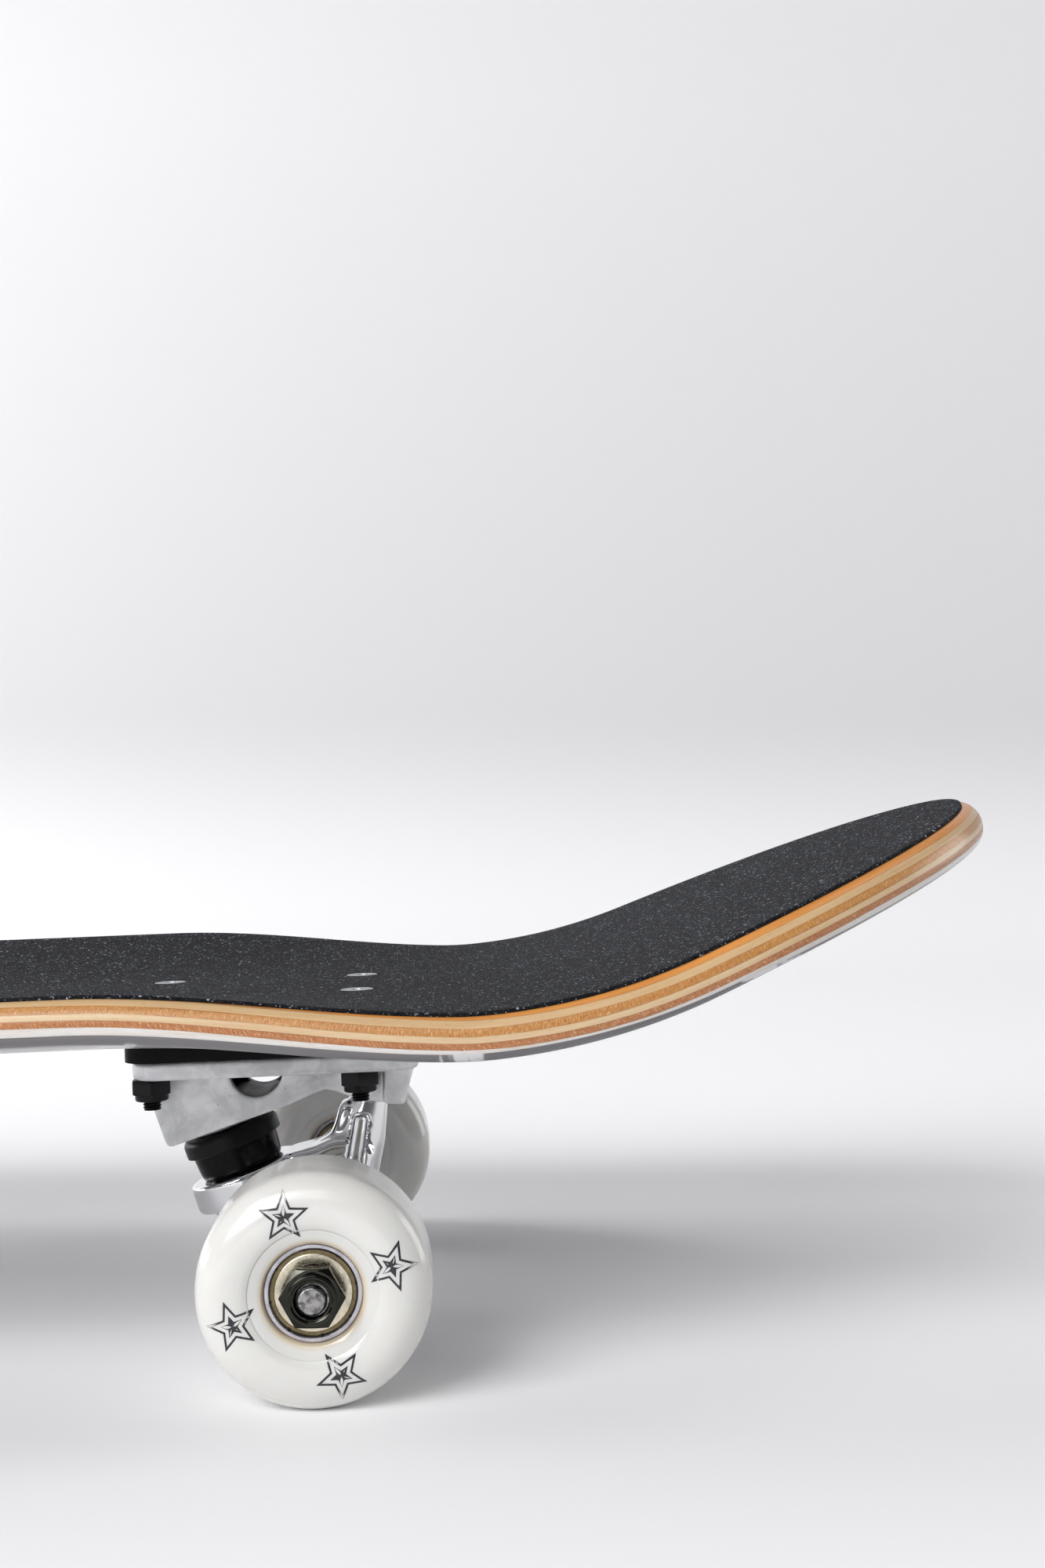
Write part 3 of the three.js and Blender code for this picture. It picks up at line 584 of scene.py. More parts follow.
def raw_casting():
    """Tumbled aluminium: pale and matte, mottled, with shallow dents and a few dark pores. The
    pocket round the kingpin's head is painted near-black and not metallic: painted shade."""
    look = Look("raw_casting", (0.8, 0.8, 0.81), 0.45, 0.5)
    mottle = look.noise(150, 5, 0.62, distortion=0.5)
    broad = look.noise(42, 3, 0.5)
    pores = look.span(look.cells(520)["Distance"], 0.0, 0.16, 1.0, 0.0)
    few = look.times(pores, look.span(look.noise(160, 2), 0.52, 0.66))
    metal = look.mix(look.span(mottle, 0.36, 0.64), (0.74, 0.745, 0.755), (0.93, 0.93, 0.935))
    metal = look.mix(look.span(broad, 0.35, 0.65, 0.0, 0.5), metal, (0.72, 0.725, 0.75), "MULTIPLY")
    metal = look.mix(few, metal, (0.22, 0.22, 0.23))
    x, y, z = look.split(look.place())
    # Painted shade: inside the pocket round the kingpin's head the colour is near-black and not metallic,
    # standing in for the shade there.
    inside = look.span(look.size(y), 0.0130, 0.0133, 1.0, 0.0)
    above, below = look.span(z, 0.0300, 0.0308), look.span(z, 0.0402, 0.0398)
    pocket = look.times(inside, above, below, look.span(x, -0.0088, -0.0094))
    look.set("Base Color", look.mix(pocket, metal, (0.012, 0.012, 0.013)))
    look.set("Metallic", look.span(pocket, 0.0, 1.0, 0.5, 0.0))
    look.set("Roughness", look.span(look.noise(60, 4, 0.6), 0.3, 0.7, 0.36, 0.55))
    dents = look.bump(mottle, 0.12, 0.35)
    fine = look.bump(look.noise(1400, 3, 0.6), 0.03, 0.45, dents)
    look.bump(few, -0.12, 0.6, fine)
    return look.material


def polished_casting():
    """Polished aluminium: bright, with a slow ripple, hairline scratches and faint haze."""
    look = Look("polished_casting", (0.82, 0.825, 0.84), 0.12, 1.0)
    haze = look.noise(45, 3)
    scratch = look.noise(300, 3, 0.6, stretch=(1, 14, 14), distortion=0.4)
    look.set("Base Color", look.mix(look.span(haze, 0.3, 0.7), (0.78, 0.785, 0.80), (0.87, 0.87, 0.88)))
    look.set("Roughness", look.math("ADD", look.span(haze, 0.3, 0.75, 0.07, 0.17),
                                    look.span(scratch, 0.55, 0.75, 0.0, 0.12)))
    ripple = look.bump(look.noise(70, 2), 0.25, 0.25)
    look.bump(scratch, 0.01, 0.35, ripple)
    return look.material


def bright_steel(name, color, rough, streak=(1, 1, 1), depth=0.012, stains=240, stain=0.72):
    """Ground or plated steel with fine streaks and small stains."""
    look = Look(name, color, rough, 1.0)
    fine = look.noise(1500, 4, 0.6, stretch=streak)
    stain_map = look.noise(stains, 4, distortion=0.4)
    darker = tuple(c * stain for c in color)
    look.set("Base Color", look.mix(look.span(stain_map, 0.38, 0.66, 0.0, 0.9), color, darker))
    look.set("Roughness", look.span(fine, 0.3, 0.75, rough * 0.75, rough * 1.45))
    look.bump(fine, depth, 0.5)
    return look.material


def black_finish(name, color, rough, metal=0.0, grain=900, depth=0.02, gloss=0.35):
    """A dark surface whose high spots are worn slightly paler."""
    look = Look(name, color, rough, metal, Specular_IOR_Level=gloss)
    fine = look.noise(grain, 4, 0.6)
    wide = look.noise(90, 3)
    paler = tuple(c * 1.8 + 0.001 for c in color)
    look.set("Base Color", look.mix(look.span(wide, 0.35, 0.75, 0.0, 0.8), color, paler))
    look.set("Roughness", look.span(fine, 0.3, 0.75, rough * 0.8, rough * 1.3))
    look.bump(fine, depth, 0.5)
    return look.material


MAPLE = maple_and_print()
GRIT = grip_grit()
URETHANE = wheel_urethane()
INK = printed_ink()
CASTING = raw_casting()
POLISHED = polished_casting()
RACE = bright_steel("race_steel", (0.62, 0.60, 0.64), 0.2)
SHIELD = bright_steel("shield_steel", (0.84, 0.77, 0.60), 0.3, depth=0.001)
# Painted shade: a dark olive for the shield's groove, where the shield's own steel lies in shade.
GROOVE_SHADE = bright_steel("groove_painted_shade", (0.24, 0.19, 0.10), 0.3)
AXLE_STEEL = bright_steel("axle_steel", (0.42, 0.41, 0.41), 0.28, (1, 0.2, 3), 0.03, 700, 0.22)
ZINC = bright_steel("zinc_plate", (0.45, 0.46, 0.48), 0.36)
BLACK_NUT = black_finish("black_oxide", (0.007, 0.007, 0.008), 0.34, 0.2, gloss=0.25)
DARK_CHROME = black_finish("dark_chrome", (0.03, 0.03, 0.026), 0.07, 1.0, 500, 0.003)
BUSHING_BLACK = black_finish("bushing_urethane", (0.0016, 0.0016, 0.002), 0.24, 0, 300, gloss=0.13)
RISER_BLACK = black_finish("riser_rubber", (0.003, 0.003, 0.0035), 0.5, 0, 1600, 0.05, 0.12)
CUP_BLACK = black_finish("washer_black", (0.003, 0.003, 0.0035), 0.36, 0.1, gloss=0.2)
NYLON = black_finish("nylon_black", (0.014, 0.014, 0.015), 0.45)


def paint(obj, *materials):
    obj.data.materials.clear()
    for material in materials:
        obj.data.materials.append(material)
    return obj


# ---- deck ----

def middle_height(distance):
    """Height of the middle ply on the centre line, at a distance from the board's middle."""
    slope = math.tan(TRUCK_SLOPE)
    over_axle = WHEEL_RADIUS + AXLE_TO_MIDDLE_PLY / math.cos(TRUCK_SLOPE)
    straight = over_axle + slope * (distance - AXLE_DISTANCE)
    fall = (ROCKER_END ** 2 - distance ** 2) / (2 * ROCKER_END)
    rocker = over_axle + slope * (ROCKER_END - AXLE_DISTANCE) - slope * fall
    past = distance - AXLE_DISTANCE - KICK_START
    bend_length = KICK_RADIUS * (math.sin(KICK_ANGLE) - math.sin(TRUCK_SLOPE))
    in_bend = np.clip(past, 0, bend_length)
    angle = np.arcsin(math.sin(TRUCK_SLOPE) + in_bend / KICK_RADIUS)
    rise = KICK_RADIUS * (math.cos(TRUCK_SLOPE) - np.cos(angle))
    kick = over_axle + slope * KICK_START + rise + (past - in_bend) * math.tan(KICK_ANGLE)
    return np.where(distance < ROCKER_END, rocker, np.where(past < 0, straight, kick))


def concave(distance, y):
    fade_start, fade_end = CONCAVE_FADE
    fade = np.clip((distance - AXLE_DISTANCE - fade_start) / (fade_end - fade_start), 0, 1)
    fade = fade * fade * (3 - 2 * fade)
    depth = CONCAVE_DEPTH + (KICK_CONCAVE - CONCAVE_DEPTH) * fade
    out = np.maximum(0, np.abs(y) - FLAT_HALF_WIDTH) / (DECK_WIDTH / 2 - FLAT_HALF_WIDTH)
    return depth * out ** CONCAVE_POWER


def surface_height(x, y):
    distance = np.abs(x - MIDDLE_X)
    return middle_height(distance) + concave(distance, y)


def deck_points(x, y, above):
    """Points at a distance above the middle ply, measured square to the surface."""
    step = 0.5
    slope_x = (surface_height(x + step, y) - surface_height(x - step, y)) / (2 * step)
    slope_y = (surface_height(x, y + step) - surface_height(x, y - step)) / (2 * step)
    normal = np.stack([-slope_x, -slope_y, np.ones_like(slope_x)], -1)
    normal /= np.linalg.norm(normal, axis=-1, keepdims=True)
    base = np.stack([x, y, surface_height(x, y)], -1)
    return base + normal * np.asarray(above)[..., None]


def outline(inset):
    """Stations along the board and the half width at each, closer together at the round tips."""
    half_width = DECK_WIDTH / 2 - inset
    start = AXLE_DISTANCE + TAPER_START
    xs, widths = [], []
    for side, length in ((-1, TAIL_LENGTH), (1, NOSE_LENGTH)):
        tip = HALF_WHEELBASE + BOLT_PITCH + length - inset
        share = 1 - (1 - np.linspace(0, 1, 90)) ** 2
        t = share if side > 0 else share[::-1]
        xs.append(MIDDLE_X + side * (start + t * (tip - start)))
        widths.append(half_width * np.sqrt(np.clip(1 - t ** TAPER_POWER, 0, 1)))
    middle = np.linspace(-start, start, 150)[1:-1] + MIDDLE_X
    x = np.concatenate([xs[0], middle, xs[1]])
    width = np.concatenate([widths[0], np.full(len(middle), half_width), widths[1]])
    return x, width


ACROSS = 36


def deck_sheet(name, rings):
    """A sheet that follows the deck. rings lists (inset, height above the middle ply) round its
    rim, from the upper face to the lower one. The UV holds, on the rim, the way along it in
    metres and the height from 0 at the underside to 1 at the top."""
    points, faces, where = [], [], []

    def add_face(inset, above):
        x, width = outline(inset)
        share = np.linspace(-1, 1, ACROSS + 1)
        rows = []
        for i, (station, half) in enumerate(zip(x, width)):
            tip = i in (0, len(x) - 1)
            ys = np.array([0.0]) if tip else share * half
            rows.append(np.arange(len(points), len(points) + len(ys)))
            points.extend(deck_points(np.full(len(ys), station), ys, np.full(len(ys), above)))
            where.extend([above] * len(ys))
        return rows

    def rim_of(rows):
        return np.array([row[0] for row in rows] + [row[-1] for row in rows[-2:0:-1]])

    def add_rim(inset, above):
        x, width = outline(inset)
        xs = np.concatenate([x, x[-2:0:-1]])
        ys = np.concatenate([-width, width[-2:0:-1]])
        start = len(points)
        points.extend(deck_points(xs, ys, np.full(len(xs), above)))
        where.extend([above] * len(xs))
        return np.arange(start, start + len(xs))

    def fill(rows, flip):
        for near, far in zip(rows, rows[1:]):
            for j in range(ACROSS):
                quad = [near[min(j, len(near) - 1)], far[min(j, len(far) - 1)],
                        far[min(j + 1, len(far) - 1)], near[min(j + 1, len(near) - 1)]]
                unique = list(dict.fromkeys(quad))
                faces.append(unique[::-1] if flip else unique)

    upper, lower = add_face(*rings[0]), add_face(*rings[-1])
    fill(upper, False)
    fill(lower, True)
    loops = [rim_of(upper), *(add_rim(*ring) for ring in rings[1:-1]), rim_of(lower)]
    for high, low in zip(loops, loops[1:]):
        for i in range(len(high)):
            j = (i + 1) % len(high)
            faces.append([high[i], low[i], low[j], high[j]])
    obj = mesh_object(name, points, faces, 60)
    face_outwards(obj)
    give_rim_uv(obj, loops, where)
    return obj


def give_rim_uv(obj, loops, where):
    co = np.array([v.co for v in obj.data.vertices])
    heights = np.array(where)
    span = heights.max() - heights.min()
    along_rim = co[:, 0].copy()
    for loop in loops:
        steps = np.linalg.norm(np.diff(co[loop], axis=0), axis=1)
        along_rim[loop] = np.concatenate([[0], np.cumsum(steps)])
    layer = obj.data.uv_layers.new(name="rim")
    index = np.empty(len(obj.data.loops), int)
    obj.data.loops.foreach_get("vertex_index", index)
    uv = np.stack([along_rim[index], (heights[index] - heights.min()) / span], -1)
    layer.data.foreach_set("uv", uv.ravel())


def bolt_cutters(shank, head, depth):
    """One tool with a countersunk hole for each of the eight deck bolts."""
    low, high = DECK_BOTTOM - 3, GRIP_TOP + 3
    profile = [(0, low), (shank, low), (shank, GRIP_TOP - depth), (head, GRIP_TOP - 0.3),
               (head, high), (0, high)]
    holes = []
    for side in ENDS.values():
        for hole in at_each_bolt(profile, 40):
            hole.matrix_world = truck_matrix(side)
            holes.append(hole)
    return join(holes, "holes")


def make_deck():
    half = DECK_THICKNESS / 2
    steps = np.linspace(math.pi / 2, -math.pi / 2, 17)
    rings = [(0.05 + EDGE_ROUNDING * (1 - math.cos(a)), half * math.sin(a)) for a in steps]
    deck = paint(deck_sheet("deck_seven_plies", rings), MAPLE)
    combine(deck, [bolt_cutters(2.7, 4.7, 2.9)], "DIFFERENCE", 60)
    grip_inset = EDGE_ROUNDING - 0.4
    low_side, high_side = half + GRIP_GAP, half + GRIP_GAP + GRIP_THICKNESS
    edge = [(grip_inset + 0.25, high_side), (grip_inset + 0.05, high_side - 0.12),
            (grip_inset, high_side - 0.3), (grip_inset, low_side)]
    grip = paint(deck_sheet("grip_sheet", edge), GRIT)
    combine(grip, [bolt_cutters(4.7, 4.75, 3)], "DIFFERENCE", 60)
    for obj, node, slot in ((deck, "deck", "maple_plies"), (grip, "grip_tape", "grip")):
        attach(obj, "board")
        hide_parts(node)


# ---- fasteners ----

THREAD_STEPS_PER_TURN = 10


def thread(name, radius, start, end, pitch, segments=40):
    """A rod along y with a real helical thread and a closed, chamfered end at each side."""
    count = int((end - start) / pitch * THREAD_STEPS_PER_TURN)
    points, faces = [], []
    depth = pitch * 0.5
    for k in range(count + 1):
        y = start + (end - start) * k / count
        fade = min(1.0, (end - y) / pitch, (y - start) / pitch)
        for i in range(segments):
            a = 2 * math.pi * i / segments
            phase = (y / pitch - i / segments) % 1
            groove = depth * abs(2 * phase - 1)
            r = radius - groove - (1 - fade) * 0.3 * (depth - groove)
            points.append((r * math.sin(a), y, r * math.cos(a)))
        if k:
            low, high = (k - 1) * segments, k * segments
            for i in range(segments):
                j = (i + 1) % segments
                faces.append((low + i, low + j, high + j, high + i))
    faces.append(range(segments))
    faces.append(range(count * segments, (count + 1) * segments))
    obj = mesh_object(name, points, faces, 30)
    face_outwards(obj)
    return obj


def hex_nut(name, flats, height, bore, collar_radius, collar_height):
    """A locknut along y from 0: chamfered hexagon, then the round collar that grips the thread."""
    corner = flats / math.sqrt(3)
    block = prism(name, hexagon(corner), 0, height)
    chamfer, reach = flats / 2 * 0.98, corner * 1.02
    drop = (reach - chamfer) * 0.5
    envelope = turned("envelope", [(0, 0), (chamfer, 0), (reach, drop), (reach, height - drop),
                                   (chamfer, height), (0, height)])
    combine(block, [envelope], "INTERSECT")
    low, top = height - 1, height + collar_height
    collar = turned("collar", [(0, low), (collar_radius, low, 0.1), (collar_radius, top, 0.5),
                               (bore + 0.8, top + 0.05, 0.3), (bore + 0.4, top - 0.3), (0, top - 0.3)])
    combine(block, [collar], "UNION")
    combine(block, [rod("hole", bore, -1, height + 9, 48)], "DIFFERENCE")
    return bevel(block, 0.14, 2, 25)


def phillips_bolt():
    """A countersunk bolt standing upright in the truck's frame, head at the grip's surface."""
    top, neck, end = GRIP_TOP - 0.02, GRIP_TOP - 2.6, 30.3
    head = turned("head", [(0, neck - 8), (2.3, neck - 8), (2.3, neck), (4.35, top - 0.35, 0.15),
                           (4.3, top, 0.25), (0, top + 0.02)], 64)
    cuts = [turned("pit", [(0, top - 2.2), (0.9, top - 1.9), (1.6, top + 0.2), (0, top + 0.2)], 32)]
    for turn in (0, math.pi / 2):
        blade = prism("blade", [(-2.6, -0.5), (2.6, -0.5), (2.6, 0.5), (-2.6, 0.5)], top - 1.7, top + 1)
        for vertex in blade.data.vertices:
            if vertex.co.y < (top - 1) * MM:
                vertex.co.x *= 0.35
        cuts.append(moved(blade, Matrix.Rotation(turn, 4, "Y")))
    combine(head, cuts, "DIFFERENCE")
    bevel(head, 0.1, 2, 30)
    shank = thread("shank", 2.4, end, neck - 7, 0.79)
    return moved(join([paint(head, ZINC), paint(shank, BLACK_NUT)], "bolt"), UPRIGHT)


def put(obj, name, end, body, nodes, material=None):
    """Places a truck piece on one end of the board, riding on a body."""
    obj.name = name
    if material:
        paint(obj, material)
    obj.matrix_world = truck_matrix(ENDS[end])
    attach(obj, body)
    if nodes:
        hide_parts(*nodes)
    return obj


def make_bolts():
    bolt = phillips_bolt()
    nut = hex_nut("locknut", 9.53, 3.9, 2.5, 4.3, 1.6)
    nut = paint(moved(nut, along(Vector((0, 0, FLANGE_BOTTOM - 0.1)), Vector((0, 0, -1)))), BLACK_NUT)
    for end in ENDS:
        for i, (place, (x, y)) in enumerate(BOLTS.items()):
            for model, kind, slot in ((bolt, "bolt", "steel"), (nut, "locknut", "black_steel")):
                piece = copy_of(model, kind)
                turn = Matrix.Rotation(math.radians(27 + 3 * i), 4, "Z")
                put(piece, f"{end}_{kind}_{place}_fine", end, "board", [f"{end}_{kind}_{place}"])
                piece.matrix_world = piece.matrix_world @ Matrix.Translation((x * MM, y * MM, 0)) @ turn
    for model in (bolt, nut):
        bpy.data.objects.remove(model)


# ---- trucks ----

def riser_pad():
    outer = rounded_rectangle(FLANGE_INNER_X - RISER_OVERHANG, FLANGE_OUTER_X + RISER_OVERHANG,
                              FLANGE_HALF_WIDTH + 1, 7)
    pad = prism("riser", outer, FLANGE_TOP + 0.05, DECK_BOTTOM - 0.05, "z")
    combine(pad, bolt_holes(2.8), "DIFFERENCE")
    return bevel(pad, 0.5, 3, 40)


CASTING_OUTLINE = [
    (-46.6, FLANGE_BOTTOM + 1), (-45.6, 29), (-42.9, 20.6), (-42.3, 19.3), (-41.2, 19.05),
    (-11.7, 28.2), (-3.2, 31.1), (-0.8, 31.7), (1.5, 31.3), (4.3, 30.2), (8, 28.9),
    (18.6, 28), (20.2, 28.4), (20.9, 29.4), (23.4, FLANGE_BOTTOM + 1),
]


def scoop(side):
    """The hollow in one side of the casting, which fades in and out without a crease."""
    start, end, edge, depth, outside = -13, 17, 14.4, 4.9, 20
    outline = [(start + (end - start) * t, side * (edge - depth * math.sin(math.pi * t) ** 2))
               for t in np.linspace(0, 1, 41)]
    outline += [(end, side * outside), (start, side * outside)]
    return prism("scoop", outline, 20, FLANGE_BOTTOM, "z")


def baseplate():
    """The cast baseplate: flange, side walls, kingpin boss and pivot boss."""
    flange = prism("baseplate", rounded_rectangle(FLANGE_INNER_X, FLANGE_OUTER_X, FLANGE_HALF_WIDTH, 7),
                   FLANGE_BOTTOM, FLANGE_TOP, "z")
    bevel(flange, 1.0, 3, 40)
    body = prism("body", CASTING_OUTLINE, -14.2, 14.2)
    bevel(body, 0.6, 3, 40)
    combine(body, [scoop(side) for side in SIDES.values()], "DIFFERENCE")
    heel_top = FLANGE_BOTTOM + 1
    heel = prism("heel", [(15, heel_top), (15, 29), (20.4, 28.4), (23.6, heel_top)], -20.5, 20.5)
    bevel(heel, 0.8, 3, 40)
    boss = moved(turned("boss", [(0, -6), (10.5, -6), (10, 1.2, 0.6), (0, 1.2)]), ON_KINGPIN)
    combine(flange, [body, heel, boss], "UNION")
    window_x, window_radius = -18.6, 7.1
    arch = [(window_x + window_radius * math.cos(a), FLANGE_BOTTOM + window_radius * math.sin(a))
            for a in np.linspace(math.pi, 2 * math.pi, 25)]
    window = prism("window", arch, -40, 40)
    pocket = prism("pocket", rounded_rectangle(-38, -9, 10.4, 4), 32, 45, "z")
    bore = moved(rod("bore", 5, -40, 9, 48), ON_KINGPIN)
    recess = moved(prism("recess", hexagon(8.7), -40, -12.3), ON_KINGPIN)
    cup = moved(rod("cup", 7.6, -12, 6.4), ON_PIVOT)
    combine(flange, [window, pocket, bore, recess, cup, *bolt_holes(2.7)], "DIFFERENCE")
    return cast(flange, 0.42, 4)


def pivot_cup():
    profile = [(0, 5), (3, 4.8), (4.9, 1.5), (5.3, -1.5), (6.5, -4.8, 0.3), (7.4, -4.8, 0.3),
               (7.4, 6.2, 0.8), (0, 6.2)]
    return moved(turned("pivot_cup", profile), ON_PIVOT)


RING_BOTTOM = RING_TOP + RING_THICKNESS
LOWER_WASHER_END = 32.6


def kingpin():
    head = prism("head", hexagon(8.2), -17, -12.6)
    bevel(head, 0.5, 2, 40)
    shank = turned("shank", [(0, -14), (KINGPIN_RADIUS, -14), (KINGPIN_RADIUS, 29),
                             (KINGPIN_RADIUS - 0.4, 29.5), (0, 29.5)])
    screw = thread("screw", KINGPIN_RADIUS, 29, 42, 1.06)
    return moved(join([head, shank, screw], "kingpin"), ON_KINGPIN)


def upper_washer():
    bore, lip = 5.05, 11.95
    profile = [(bore, 1.6), (12.2, 1.6, 0.5), (13.1, 2.8, 0.7), (13.1, 6.4, 0.35), (lip, 6.4, 0.3),
               (lip, 3.2), (bore, 3.2)]
    return moved(turned("upper_washer", profile, 96, True), ON_KINGPIN)


def lower_washer():
    profile = [(5.05, 30.4), (9.4, 30.4, 0.3), (10, 31, 0.4), (10, 32.6, 0.4), (5.05, 32.6)]
    return moved(turned("lower_washer", profile, 96, True), ON_KINGPIN)


def kingpin_nut():
    nut = hex_nut("kingpin_nut", 14.3, 5.4, KINGPIN_RADIUS + 0.05, 6.3, 1.9)
    return moved(nut, ON_KINGPIN @ Matrix.Translation((0, LOWER_WASHER_END + 0.1, 0)))


def bushing_profile(upper):
    if upper:
        return [(5, 3.4), (11.3, 3.4, 0.5), (11.75, 5.5), (11.6, 7.5), (11.35, 10.5), (11.1, 12.6, 0.5),
                (10.6, 13.3), (7.6, 13.3), (7.6, 14.4, 0.3), (5, 14.4)]
    return [(5, 20.4), (7.6, 20.4, 0.3), (7.6, 21.5), (10.6, 21.5, 0.6), (11, 22.4, 0.8), (10.6, 25.5),
            (9.6, 29.6, 0.7), (9, 30.3, 0.4), (5, 30.3)]


YOKE_OUTLINE = [(-12, 14.4), (-11, 6.2), (-7.6, 5.2), (-5.6, 0), (6, -4), (7.8, 3), (10.6, 8), (12, 14),
                (8.5, 18.6), (0, 18), (-4.3, 16.2)]
RIB_OUTLINE = [(-5, 10), (-4.9, 16.3), (-2.2, 17.5), (0, 19), (1.2, 21.6), (2, 24.2), (3, 27.4),
               (6.5, 27.4), (6.5, 10)]
CHANNEL_OUTLINE = [(3.8, 9.8), (5.2, 16.1), (6.5, 22.6), (7.2, 23.6), (9.6, 23.6), (10.2, 22.6),
                   (9.1, 15.9), (8, 9.8)]
WING_OUTLINE = [(0, 16), (5, 13.5), (12, 11.4), (24, 10.2), (46, 6), (46, -4), (0, -4)]


def wing(side):
    """One of the two low webs that run out along the beam from the stem."""
    web = prism("wing", [(side * y, z) for y, z in WING_OUTLINE], -3, 3)
    bevel(web, 1.2, 3, 30)
    turn = Matrix.Rotation(PIVOT_LEAN, 4, "Y") @ Matrix.Rotation(math.pi / 2, 4, "Z")
    return moved(web, Matrix.Translation((1.5, 0, 0)) @ turn)


def soften_stem(body):
    """Rounds the stem, where the polishing wheel reaches every edge."""
    group = body.vertex_groups.new(name="stem")
    for vertex in body.data.vertices:
        x, y, z = vertex.co / MM
        share = math.prod(min(1, max(0, part)) for part in ((x + 9) / 4, (z - 5) / 3, (24 - abs(y)) / 6))
        if share:
            group.add([vertex.index], share, "REPLACE")
    smooth = body.modifiers.new("smooth", "SMOOTH")
    smooth.vertex_group = group.name
    smooth.iterations = 22
    applied(body, 180)
    body.vertex_groups.clear()
    return body


def hanger():
    """The polished hanger: ring, yoke, channelled pivot stem and the beam that carries the axle."""
    half = [(7.4, 0), (7.5, 12), (8.6, 22), (9.6, 34), (9.3, 50), (8.3, HANGER_END - 1.2, 0.8),
            (7.7, HANGER_END)]
    body = turned("hanger", [(0, -HANGER_END), *mirrored(half[1:]), *half, (0, HANGER_END)])
    ring_profile = [(0, RING_TOP), (RING_RADIUS, RING_TOP, 1.2), (RING_RADIUS, RING_BOTTOM, 1.6),
                    (0, RING_BOTTOM)]
    ring = moved(turned("ring", ring_profile, 96), ON_KINGPIN)
    yoke = bevel(prism("yoke", YOKE_OUTLINE, -8, 8), 1.5, 3, 30)
    rib = bevel(prism("rib", RIB_OUTLINE, -4.5, 4.5), 1.6, 3, 50)
    tip = [(4.2 * math.cos(a), 4.2 * math.sin(a)) for a in np.linspace(0, math.pi / 2, 9)]
    stem_profile = [(0, -30), (7.6, -30), (6.9, -16), (5, -4.8), *tip[:-1], (0, 4.2)]
    stem = moved(turned("stem", stem_profile), ON_PIVOT)
    combine(body, [ring, yoke, rib, wing(1), wing(-1), stem], "UNION")
    channels = [prism("channel", CHANNEL_OUTLINE, *depth) for depth in ((2.4, 12.4), (-12.4, -2.4))]
    bore = moved(rod("bore", 8, RING_TOP - 2, RING_BOTTOM + 2), ON_KINGPIN)
    room = moved(rod("room", 12, RING_BOTTOM, 60), ON_KINGPIN)
    axle_bore = rod("axle_bore", 4.05, -80, 80)
    combine(body, [bore, room, axle_bore, *channels], "DIFFERENCE")
    cast(body, 0.4, 8)
    return soften_stem(body)


def axle():
    end = AXLE_HALF_LENGTH
    grip = HANGER_END + 19
    shaft = rod("axle", AXLE_RADIUS, -grip, grip, 48)
    tips = []
    for side in (1, -1):
        screw = thread("screw", AXLE_RADIUS, grip - 0.5, end - 1.6, 1.06, 48)
        face = turned("face", [(0, end - 2.4), (3.4, end - 2.4), (3.4, end - 1.5), (3.45, end - 0.9, 0.3),
                               (2.75, end, 0.25), (0, end - 0.12)], 48)
        for piece in (screw, face):
            tips.append(moved(piece, Matrix.Rotation(0 if side > 0 else math.pi, 4, "Z")))
    return join([shaft, *tips], "axle")


def axle_nut():
    nut = hex_nut("axle_nut", 12.7, 4.2, 4.0, 5.5, 1.5)
    return moved(nut, Matrix.Translation((0, 13.4, 0)))


def make_bushing(end, upper):
    """A bushing between the board and the hanger."""
    name = "upper" if upper else "lower"
    piece = turned(f"{end}_{name}_bushing_urethane", bushing_profile(upper), 96, True, 50)
    moved(piece, ON_KINGPIN)
    piece.data.transform(truck_matrix(ENDS[end]))
    paint(piece, BUSHING_BLACK)
    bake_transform(piece)
    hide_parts(f"{end}_{name}_bushing")


def make_trucks():
    pieces = [
        ("riser_pad", riser_pad(), RISER_BLACK, "board", "black_plastic"),
        ("baseplate", baseplate(), CASTING, "board", "cast_aluminium"),
        ("pivot_cup", pivot_cup(), NYLON, "board", "black_plastic"),
        ("kingpin", kingpin(), BLACK_NUT, "board", "steel"),
        ("kingpin_nut", kingpin_nut(), BLACK_NUT, "board", "steel"),
        ("upper_washer", upper_washer(), CUP_BLACK, "board", "black_steel"),
        ("lower_washer", lower_washer(), CUP_BLACK, "board", "black_steel"),
        ("hanger", hanger(), POLISHED, "hanger_set", "polished_aluminium"),
        ("axle", axle(), AXLE_STEEL, "hanger_set", "steel"),
    ]
    for end in ENDS:
        for node, model, material, body, slot in pieces:
            rides_on = body if body == "board" else f"{end}_{body}"
            name = f"{end}_{node}"
            put(copy_of(model, node), f"{name}_fine", end, rides_on, [name], material)
        for upper in (True, False):
            make_bushing(end, upper)
    for _, model, *_ in pieces:
        bpy.data.objects.remove(model)


# ---- wheels ----

BEARING_START = 5.5
BEARING_END = 12.5

WHEEL_LIP = [(12.6, 14.2), (14.35, 14.56)]
WHEEL_FACE = curve_through([
    (14.5, 14.75), (16, 15.25), (18.2, 15.45), (20.6, 15.2), (22.8, 14.3), (24.6, 12.9), (25.9, 11.0),
    (26.42, 9.0), (26.48, 7.0),
])


def face_height(radius):
    """How far the wheel's face stands from the wheel's middle, at a radius."""
    radii, heights = zip(*WHEEL_LIP, *WHEEL_FACE)
    return float(np.interp(radius, radii, heights))


def wheel_body():
    hub = [(9.6, 5.2), (11.05, 5.2, 0.1), (11.05, 13.1), (11.35, 13.75, 0.4)]
    half = hub + WHEEL_LIP + WHEEL_FACE
    return turned("wheel", half + mirrored(half), 144, True, 40)


def star(centre, size, turn):
    """The corners of a five-pointed star."""
    corners = []
    for i in range(10):
        radius = size if i % 2 == 0 else size * 0.44
        a = turn + math.pi * i / 5
        corners.append(np.array(centre) + (radius * math.cos(a), radius * math.sin(a)))
    return corners


